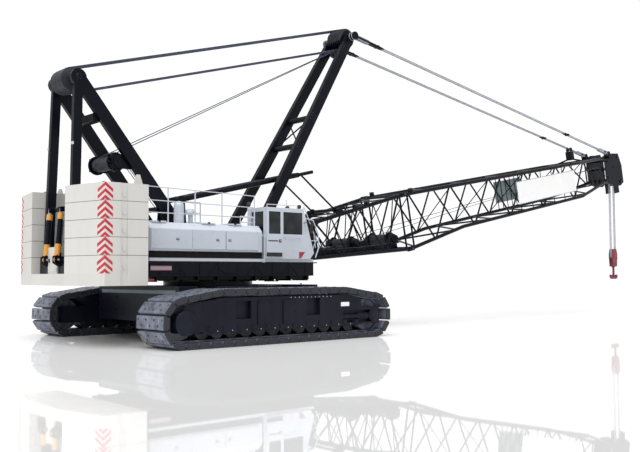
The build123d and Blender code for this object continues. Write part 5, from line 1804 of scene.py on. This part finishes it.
@dataclass
class MastTrim:
    """The live mast's gussets, bolts, pin caps and brace plates."""

    shop: Workshop
    length: float = 8.841
    foot_half: float = 0.83
    head_half: float = 0.48
    beam_shares: Pair = (0.44, 0.578)
    gusset_half: Pair = (0.16, 0.13)
    bolt_shares: Pair = (0.03, 0.93)
    lugs: Pair = (2.2, 6.6)
    cap_y: float = 0.90
    cap: Outline = ((0.0, 0.0), (0.11, 0.0), (0.11, 0.06), (0.09, 0.075), (0.0, 0.075))

    def build(self) -> None:
        """Makes the mast's trim."""
        form = Form("live_mast_fittings", "live_mast", MAST)
        along, above = self.gusset_half
        for sign in SIGNS:
            for share in self.beam_shares:
                s, reach = share * self.length, self._reach(share)
                low, high = beside(sign, reach + 0.086, reach + 0.100)
                form.block((s - along, low, -above), (s + along, high, above), Finish.BLACK, 0.004)
                self._bolts(form, (s, sign * (reach + 0.10), 0.0), 0.12, 0.09, sign)
            for share in self.bolt_shares:
                s, reach = share * self.length, self._reach(share)
                self._bolts(form, (s, sign * (reach + 0.088), 0.0), 0.10, 0.10, sign)
            for s in self.lugs:
                y = sign * self._reach(s / self.length)
                form.bar((s, y, 0.165), (s + 0.20, y, 0.165), 0.014, Finish.BLACK)
            form.boss((0.0, sign * self.cap_y, 0.0), sign, self.cap, Finish.BLACK, steps=24)
        self.shop.place(form)

    def _reach(self, share: float) -> float:
        """How far from the middle a leg's axis lies, at a share of its length."""
        return self.foot_half + (self.head_half - self.foot_half) * share

    @staticmethod
    def _bolts(form: Form, centre: Point, along: float, above: float, sign: float) -> None:
        """Sets six bolts in a leg's outer face.

        Args:
            form: The piece.
            centre: Their middle.
            along: Their pitch along the leg.
            above: How far above and below the middle they lie.
            sign: The side that they face.
        """
        s, y, t = centre
        spots = [(s + ds, y, t + dt) for ds in (-along, 0.0, along) for dt in (-above, above)]
        form.bolts(spots, (0.0, sign, 0.0), 0.022, Finish.SHEAVE)


@dataclass
class BoomTrim:
    """The butt's winches, the blank signs, the top chord's fittings and the head's pins."""

    shop: Workshop
    # distance along the boom, and the chords' half width, top and bottom there
    stations: tuple[tuple[float, float, float, float], ...] = (
        (0.75, 0.78, 0.60, -0.52),
        (5.50, 1.03, 1.00, -1.03),
        (8.70, 1.03, 0.97, -0.70),
        (17.5, 1.03, 0.87, -0.68),
        (20.65, 0.47, 0.80, -0.33),
    )
    # start, pitch and number of the lacing's places along the butt and along the top section
    butt_lacing: tuple[float, float, int] = (0.95, 0.50, 9)
    top_lacing: tuple[float, float, int] = (5.85, 1.20, 13)
    brace: float = 0.022
    beam_y: Pair = (0.50, 0.56)
    beam_s: Pair = (1.2, 5.30)
    beam_rise: float = 0.036
    beam_depth: float = 0.26
    cross_beams: tuple[float, ...] = (1.30, 2.30, 4.10, 5.20)
    # along the boom, above its line, and the size of each drum
    drums: tuple[Point, ...] = ((3.078, -0.36, 0.15), (5.05, -0.58, 0.20))
    flange_y: float = 0.47
    flange_rise: float = 0.075
    barrel_share: float = 0.86
    wrap_count: int = 32
    wrap_pitch: float = 0.028
    # along the boom, height and distance across of the valve blocks and pumps
    boxes: tuple[Point, ...] = ((3.65, 0.34, -0.28), (3.95, 0.26, 0.22), (2.35, 0.20, 0.05))
    hoses_y: tuple[float, ...] = (-0.66, -0.71, 0.66, 0.71)
    sign_t: Pair = (-0.35, 0.60)
    strap_t: Pair = (-0.72, 0.94)
    strap_count: int = 6
    strap_inset: float = 0.15
    # along the boom, and the sides that have a roller there
    rollers: tuple[tuple[float, tuple[float, ...]], ...] = ((3.10, (-1.0,)), (3.66, (-1.0,)), (5.93, SIGNS))
    post_s: float = 18.5
    post_t: Point = (1.00, 1.05, 1.42)
    post_axle_t: float = 1.50
    joint_s: float = 5.50
    joint_ts: Pair = (1.01, -1.03)
    # along the boom, above its line, and the radius of each pin through the head
    pins: tuple[Point, ...] = (
        (20.90, 0.62, 0.05),
        (20.85, -0.15, 0.05),
        (21.94, -0.50, 0.085),
        (21.85, 0.76, 0.044),
        (21.45, 0.30, 0.04),
    )
    guide: Pair = (21.85, 0.76)
    tip: Pair = (21.94, -0.50)

    def build(self) -> None:
        """Makes the boom's trim."""
        self._braces()
        self._winches()
        self._sign("near_blank_sign", -1.0, 12.43, 16.90, Finish.BLANK)
        self._sign("far_blank_sign", 1.0, 13.80, 15.85, Finish.CLOTH)
        self._fittings()
        self._head()

    def _section(self, s: float) -> Point:
        """The boom's half width, top and bottom at a distance along it.

        Args:
            s: The distance.

        Returns:
            Where its chords lie there.
        """
        for (low, *near), (high, *far) in zip(self.stations, self.stations[1:]):
            if s <= high:
                break
        share = (s - low) / (high - low)
        half, top, bottom = (a + (b - a) * share for a, b in zip(near, far))
        return half, top, bottom

    def _bottom(self, s: float) -> float:
        """How low the bottom chords lie at a distance along the boom."""
        return self._section(s)[2]

    def _braces(self) -> None:
        """Crosses the boom's inside with braces between opposite chords, and adds the butt's finer lacing."""
        form = Form("boom_inner_braces", "boom", BOOM)
        butt, top_section = (
            [start + pitch * rank for rank in range(count)]
            for start, pitch, count in (self.butt_lacing, self.top_lacing)
        )
        places = butt + top_section
        black, radius = Finish.BLACK, self.brace
        for rank, (s, after) in enumerate(zip(places, places[1:])):
            if s == butt[-1]:
                continue
            half, top, bottom = self._section(s)
            wide, high, low = self._section(after)
            flip = 1.0 if rank % 2 else -1.0
            if rank % 2:
                form.bar((s, -half * flip, top), (s, half * flip, bottom), radius, black, sides=6)
            for sign in SIGNS if s < butt[-1] else ():
                ends = (top, low) if (rank % 2) == (sign > 0) else (bottom, high)
                form.bar((s, sign * half, ends[0]), (after, sign * wide, ends[1]), radius, black, sides=6)
            form.bar((s, flip * half, top), (after, -flip * wide, high), radius, black, sides=6)
        self.shop.place(form)

    def _winches(self) -> None:
        """Lays two winches on a frame between the butt's bottom chords, with their motors and hoses."""
        form = Form("boom_butt_winches", "boom", BOOM)
        for sign in SIGNS:
            self._winch_frame(form, sign)
        for s in self.cross_beams:
            half = 0.78 + 0.25 * (s - 0.75) / 4.69
            form.axle(s, self._bottom(s) + 0.04, half, 0.045, Finish.BLACK)
        for s, t, size in self.drums:
            self._drum(form, s, t, size)
        for s, height, y in self.boxes:
            base = self._bottom(s)
            form.block((s - 0.20, y - 0.24, base + 0.06), (s + 0.20, y + 0.24, base + 0.10 + height),
                       Finish.BLACK, 0.020)
        start = self._bottom(1.1) + 0.18
        for rank, y in enumerate(self.hoses_y):
            middle, end = self._bottom(3.2) + 0.22, self._bottom(4.9) + 0.26 + 0.02 * rank
            points = ((0.85, y, start + 0.12), (1.6, y, start + 0.02), (3.2, y, middle), (4.9, y, end))
            form.pipe(points, 0.018, Finish.RUBBER)
        self.shop.place(form)

    def _winch_frame(self, form: Form, sign: float) -> None:
        """Lays one side's beam, with the drums' bearings and motors.

        Args:
            form: The piece.
            sign: The side of it.
        """
        near, far = beside(sign, *self.beam_y)
        rear, front = self.beam_s
        low, high = self._bottom(rear) + self.beam_rise, self._bottom(front) + self.beam_rise
        beam = ((rear, low), (front, high), (front, high + self.beam_depth), (rear, low + self.beam_depth))
        form.plate(beam, near, far, Finish.BLACK, 0.006)
        for s, t, size in self.drums:
            base, shoulder, crown = self._bottom(s) + 0.20, t + 0.06, t + 0.14
            half = ((2 * size, base), (size, shoulder), (0.06, crown))
            bearing = [(s - 2 * size, base), *((s + reach, up) for reach, up in half)]
            bearing += [(s - reach, up) for reach, up in half[:0:-1]]
            form.plate(bearing, near, far, Finish.BLACK, 0.006)
            neck = size * 0.8
            flange = ((0.0, 0.0), (size, 0.0), (size, 0.10))
            motor = flange + ((neck, 0.13), (neck, 0.20), (size * 0.5, 0.24), (0.0, 0.24))
            form.boss((s, sign * self.beam_y[1], t), sign, motor, Finish.BLACK, steps=24)

    def _drum(self, form: Form, s: float, t: float, size: float) -> None:
        """Adds one drum with its flanges and the rope on it.

        Args:
            form: The piece.
            s: Where it lies along the boom.
            t: How far above the boom's line it lies.
            size: Its radius.
        """
        barrel, edge = size * self.barrel_share, size + self.flange_rise
        form.axle(s, t, self.beam_y[0], barrel, Finish.SHEAVE, sides=28)
        inner = edge - 0.01
        rim = ((0.0, -0.02), (inner, -0.02), (edge, -0.01), (edge, 0.01), (inner, 0.02), (0.0, 0.02))
        for y in (-self.flange_y, self.flange_y):
            form.boss((s, y, t), 1.0, rim, Finish.BLACK, steps=32)
        for y in ranks(self.wrap_count, self.wrap_pitch):
            form.hoop((s, y, t), barrel + 0.012, 0.0145, Finish.SHEAVE, steps=20)

    def _sign(self, name: str, sign: float, low: float, high: float, face: Finish) -> None:
        """Straps a bare sign to one side's lattice.

        Args:
            name: The piece's name.
            sign: The side of the boom.
            low: Where it starts along the boom.
            high: Where it ends.
            face: The finish of its face.
        """
        form = Form(name, "boom", BOOM)
        bottom, top = self.sign_t
        near, far = beside(sign, 1.112, 1.128)
        form.block((low, near, bottom), (high, far, top), face, 0.004)
        near, far = beside(sign, 1.098, 1.113)
        strap_low, strap_high = self.strap_t
        pitch = (high - low - 2 * self.strap_inset) / (self.strap_count - 1)
        straps = [low + self.strap_inset + pitch * rank for rank in range(self.strap_count)]
        for s in straps:
            form.block((s - 0.025, near, strap_low), (s + 0.025, far, strap_high), Finish.BLACK, 0.003)
        near, far = beside(sign, 1.108, 1.134)
        for t in self.sign_t:
            form.block((low, near, t - 0.012), (high, far, t + 0.012), Finish.PENDANT, 0.003)
        spots = [(s, sign * 1.126, t) for s in straps for t in (bottom + 0.05, top - 0.05)]
        form.bolts(spots, (0.0, sign, 0.0), 0.014, Finish.BOLT)
        self.shop.place(form)

    def _fittings(self) -> None:
        """Puts rollers on the top chords, the post near the head and the section joints' pins."""
        form = Form("boom_top_fittings", "boom", BOOM)
        for s, sides in self.rollers:
            half, top, _ = self._section(s)
            for sign in sides:
                y, axle = sign * half, top + 0.16
                low, high = (s - 0.09, y - 0.05, top + 0.04), (s + 0.09, y + 0.05, top + 0.15)
                form.block(low, high, Finish.BLACK, 0.010)
                form.bar((s, y - 0.09, axle), (s, y + 0.09, axle), 0.045, Finish.SHEAVE, sides=16)
        self._post(form)
        for t in self.joint_ts:
            for sign in SIGNS:
                start, end = (self.joint_s, sign * 0.90, t), (self.joint_s, sign * 1.17, t)
                form.bar(start, end, 0.042, Finish.SHEAVE, sides=14)
        self.shop.place(form)

    def _post(self, form: Form) -> None:
        """Stands the post with its two guide sheaves on the top chords near the head.

        Args:
            form: The piece.
        """
        s, axle = self.post_s, self.post_axle_t
        foot, strut, crown = self.post_t
        half, top, _ = self._section(s)
        for sign in SIGNS:
            form.bar((s, sign * half, top), (s, sign * 0.10, strut), 0.04, Finish.BLACK)
        form.block((s - 0.14, -0.15, foot), (s + 0.14, 0.15, crown), Finish.BLACK, 0.02)
        form.axle(s, axle, 0.14, 0.035, Finish.BLACK)
        for y in (-0.09, 0.09):
            form.sheave((s, y, axle), 0.11, 0.04)

    def _head(self) -> None:
        """Puts pins, nuts and small sheaves through the head's plates."""
        form = Form("boom_head_fittings", "boom", BOOM)
        for s, t, radius in self.pins:
            for sign in SIGNS:
                form.bar((s, sign * 0.46, t), (s, sign * 0.545, t), radius, Finish.BLACK, sides=16)
                form.bar((s, sign * 0.54, t), (s, sign * 0.556, t), radius * 0.55, Finish.SHEAVE, sides=6)
        s, t = self.guide
        form.axle(s, t, 0.48, 0.044, Finish.BLACK)
        for y in (-0.20, 0.0, 0.20):
            form.sheave((s, y, t), 0.13, 0.06)
        s, t = self.tip
        for y in (-0.16, 0.0, 0.16):
            for lip in (-0.035, 0.035):
                form.hoop((s, y + lip, t), 0.188, 0.012, Finish.SHEAVE, steps=28)
        form.block((20.95, -0.10, 0.88), (21.10, 0.10, 1.00), Finish.RUBBER, 0.015)
        self.shop.place(form)


@dataclass
class PendantTrim:
    """The black link bars and sockets along the boom's pendants."""

    shop: Workshop
    start: Point = (5.75, 0.69, 10.50)
    end: Point = (22.87, 0.62, 7.81)
    head_share: float = 0.07
    link_share: float = 0.80
    foot_share: float = 0.985
    socket_length: float = 0.30
    rope_gap: float = 0.06
    eye: Outline = ((0.0, -0.125), (0.145, -0.125), (0.145, 0.125), (0.0, 0.125))

    def build(self) -> None:
        """Makes the pendants' sockets and links."""
        form = Form("pendant_links", "pendants")
        for sign in SIGNS:
            near, far = Vector(self.start), Vector(self.end)
            near.y, far.y = near.y * sign, far.y * sign
            for gap in (-self.rope_gap, self.rope_gap):
                self._rope_ends(form, near, far, Vector((0.0, gap, 0.0)))
            form.boss(tuple(near), 1.0, self.eye, Finish.BLACK)
            for share in (self.head_share, self.link_share, self.foot_share):
                x, y, z = near.lerp(far, share)
                form.bar((x, y - 0.10, z), (x, y + 0.10, z), 0.05, Finish.BLACK, sides=14)
        self.shop.place(form)

    def _rope_ends(self, form: Form, near: Vector, far: Vector, shift: Vector) -> None:
        """Adds one rope's sockets and the link bar at its head.

        Args:
            form: The piece.
            near: The pendant's head.
            far: Its foot.
            shift: How far beside the pendant's middle the rope lies.
        """
        way = (far - near).normalized() * self.socket_length
        for share, run in ((self.head_share, way), (self.link_share, -way)):
            place = near.lerp(far, share) + shift
            form.bar(place, place + run, 0.045, Finish.BLACK, tip=0.028)
        form.bar(near + shift, near.lerp(far, self.head_share) + shift, 0.046, Finish.BLACK)


@dataclass
class HookTrim:
    """The hook block's pins, bolts and cheek plates, and the hook's nut."""

    shop: Workshop
    middle_x: float = 24.332305
    axle_z: float = 2.80
    cheek: float = 0.115
    cap: Outline = ((0.0, 0.0), (0.085, 0.0), (0.085, 0.012), (0.06, 0.028), (0.0, 0.028))
    cap_bolt_half: float = 0.042
    # along from the block's middle and height of the cheek's bolts
    cheek_bolts: Outline = ((-0.15, 3.02), (0.15, 3.02), (-0.12, 2.52), (0.12, 2.52))
    nut_z: Pair = (2.22, 2.30)

    def build(self) -> None:
        """Makes the hook block's trim."""
        form = Form("hook_block_fittings", "hook_block")
        x, z = self.middle_x, self.axle_z
        halves = (-self.cap_bolt_half, self.cap_bolt_half)
        for sign in SIGNS:
            y = sign * (self.cheek - 0.004)
            form.boss((x, y, z), sign, self.cap, Finish.RED, steps=24)
            spots = [(x + dx, y + sign * 0.010, z + dz) for dx in halves for dz in halves]
            form.bolts(spots, (0.0, sign, 0.0), 0.010, Finish.BOLT)
            spots = [(x + dx, y, height) for dx, height in self.cheek_bolts]
            form.bolts(spots, (0.0, sign, 0.0), 0.020, Finish.BOLT)
        low, high = self.nut_z
        form.bar((x, 0.0, low), (x, 0.0, high), 0.10, Finish.SHEAVE, sides=20)
        self.shop.place(form)


@dataclass
class Stage:
    """The floor, the sky, the key light and the camera."""

    camera_place: Point = (-15.01, -22.69, 1.91)
    camera_yaw: float = 49.0
    camera_pitch: float = 3.27
    camera_roll: float = -0.26
    focal_pixels: float = 849.0
    image_width: float = 640.0
    sensor_width: float = 36.0
    floor_half: float = 400.0
    floor_gloss: float = 0.50
    sky_light: float = 0.76
    sky_shown: float = 1.05
    key_from: Point = (-0.50, -0.32, 1.0)
    key_softness: float = 55.0
    key_energy: float = 2.7

    def build(self) -> None:
        """Makes the camera, the floor, the sky and the key light."""
        self._camera()
        self._floor()
        self._sky()
        self._key_light()

    def _camera(self) -> None:
        """Places the camera at the photograph's viewpoint."""
        data = bpy.data.cameras.new("photo_camera")
        data.sensor_width = self.sensor_width
        data.lens = self.focal_pixels / self.image_width * self.sensor_width
        data.clip_end = 1000.0
        yaw, pitch = math.radians(self.camera_yaw), math.radians(self.camera_pitch)
        ahead = Vector((math.cos(yaw) * math.cos(pitch), math.sin(yaw) * math.cos(pitch), math.sin(pitch)))
        camera = bpy.data.objects.new("photo_camera", data)
        turn = ahead.to_track_quat("-Z", "Y").to_matrix()
        roll = Matrix.Rotation(math.radians(self.camera_roll), 3, "Z")
        camera.matrix_world = Matrix.Translation(self.camera_place) @ (turn @ roll).to_4x4()
        bpy.context.scene.collection.objects.link(camera)
        bpy.context.scene.camera = camera

    def _floor(self) -> None:
        """Lays a white floor under a thin clear gloss."""
        mesh = bmesh.new()
        bmesh.ops.create_grid(mesh, x_segments=1, y_segments=1, size=self.floor_half)
        data = bpy.data.meshes.new("floor")
        mesh.to_mesh(data)
        mesh.free()
        graph = Graph("white_glossed_floor")
        colour = graph.mix(graph.noise(0.3, 3.0), (0.93, 0.93, 0.93), (0.95, 0.95, 0.95))
        white = graph.node("ShaderNodeBsdfDiffuse", {}, {"Color": colour})
        gloss = graph.node("ShaderNodeBsdfGlossy", {}, {"Color": (1.0, 0.99, 0.99), "Roughness": 0.025})
        inputs = {"Fac": self.floor_gloss, 1: white, 2: gloss}
        graph.node_output(graph.node("ShaderNodeMixShader", {}, inputs))
        data.materials.append(graph.material)
        floor = bpy.data.objects.new("floor", data)
        bpy.context.scene.collection.objects.link(floor)

    def _sky(self) -> None:
        """Surrounds the crane with plain white, which lights it less than it shows."""
        world = bpy.data.worlds.new("soft_white")
        world.use_nodes = True
        tree = world.node_tree
        background = tree.nodes["Background"]
        path = tree.nodes.new("ShaderNodeLightPath")
        level = tree.nodes.new("ShaderNodeMapRange")
        level.inputs["To Min"].default_value = self.sky_light
        level.inputs["To Max"].default_value = self.sky_shown
        tree.links.new(path.outputs["Is Camera Ray"], level.inputs["Value"])
        tree.links.new(level.outputs["Result"], background.inputs["Strength"])
        background.inputs["Color"].default_value = (1.0, 1.0, 1.0, 1.0)
        bpy.context.scene.world = world
        bpy.context.scene.view_settings.view_transform = "Standard"

    def _key_light(self) -> None:
        """Adds a wide soft key light from above, behind and to the right."""
        data = bpy.data.lights.new("key", "SUN")
        data.angle = math.radians(self.key_softness)
        data.energy = self.key_energy
        light = bpy.data.objects.new("key", data)
        aim = -Vector(self.key_from)
        light.matrix_world = aim.to_track_quat("-Z", "Y").to_matrix().to_4x4()
        bpy.context.scene.collection.objects.link(light)


def dress_nodes(shop: Workshop) -> None:
    """Gives every CAD node its finish.

    Args:
        shop: The finishes and the frame.
    """
    shop.dress(Finish.TRACK, "crawler_track_*", "track_end_wheels")
    shop.dress(Finish.FRAME, "side_frame_*", "track_drive_covers", "carbody", "carbody_counterweights")
    shop.dress(Finish.BLACK, "slew_ring", "rotating_bed", "side_decks", "engine", "gantry_frame")
    shop.dress(Finish.BLACK, "mast_foot_lugs", "backstop_*", "live_mast", "boom_*")
    shop.dress(Finish.SHEAVE, "track_rollers", "gantry_sheaves", "mast_sheaves", "boom_head_sheaves")
    shop.dress(Finish.WHITE, "deck_plates", "house_door_*", "cab_shell", "cab_door")
    shop.dress(Finish.WHITE, "roof_handrail_*", "exhaust_silencer")
    shop.dress(Finish.HOUSE, "machinery_house_*")
    shop.dress(Finish.CREAM, "counterweight_tray", "rear_service_box")
    shop.dress(Finish.SLAB, "counterweight_slabs_*")
    shop.dress(Finish.GLASS, "cab_glass", "cab_door_glass")
    shop.dress(Finish.SEAT, "operator_seat")
    shop.dress(Finish.ROPE, "boom_hoist_ropes", "hoist_falls")
    shop.dress(Finish.PENDANT, "pendants")
    shop.dress(Finish.HOOK, "hook_block", "hook")


def main() -> None:
    """Builds the scene in order."""
    logging.basicConfig(level=logging.INFO, format="%(name)s: %(message)s")
    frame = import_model()
    shop = Workshop(frame)
    Stage().build()
    dress_nodes(shop)
    RopeWork(shop).build()
    for side in Side:
        TrackTrim(shop, side).build()
        HouseTrim(shop, side).build()
    for trim in (DeckTrim, CabTrim, WeightTrim, GantryTrim, MastTrim, BoomTrim, PendantTrim, HookTrim):
        trim(shop).build()


if __name__ == "__main__":
    main()
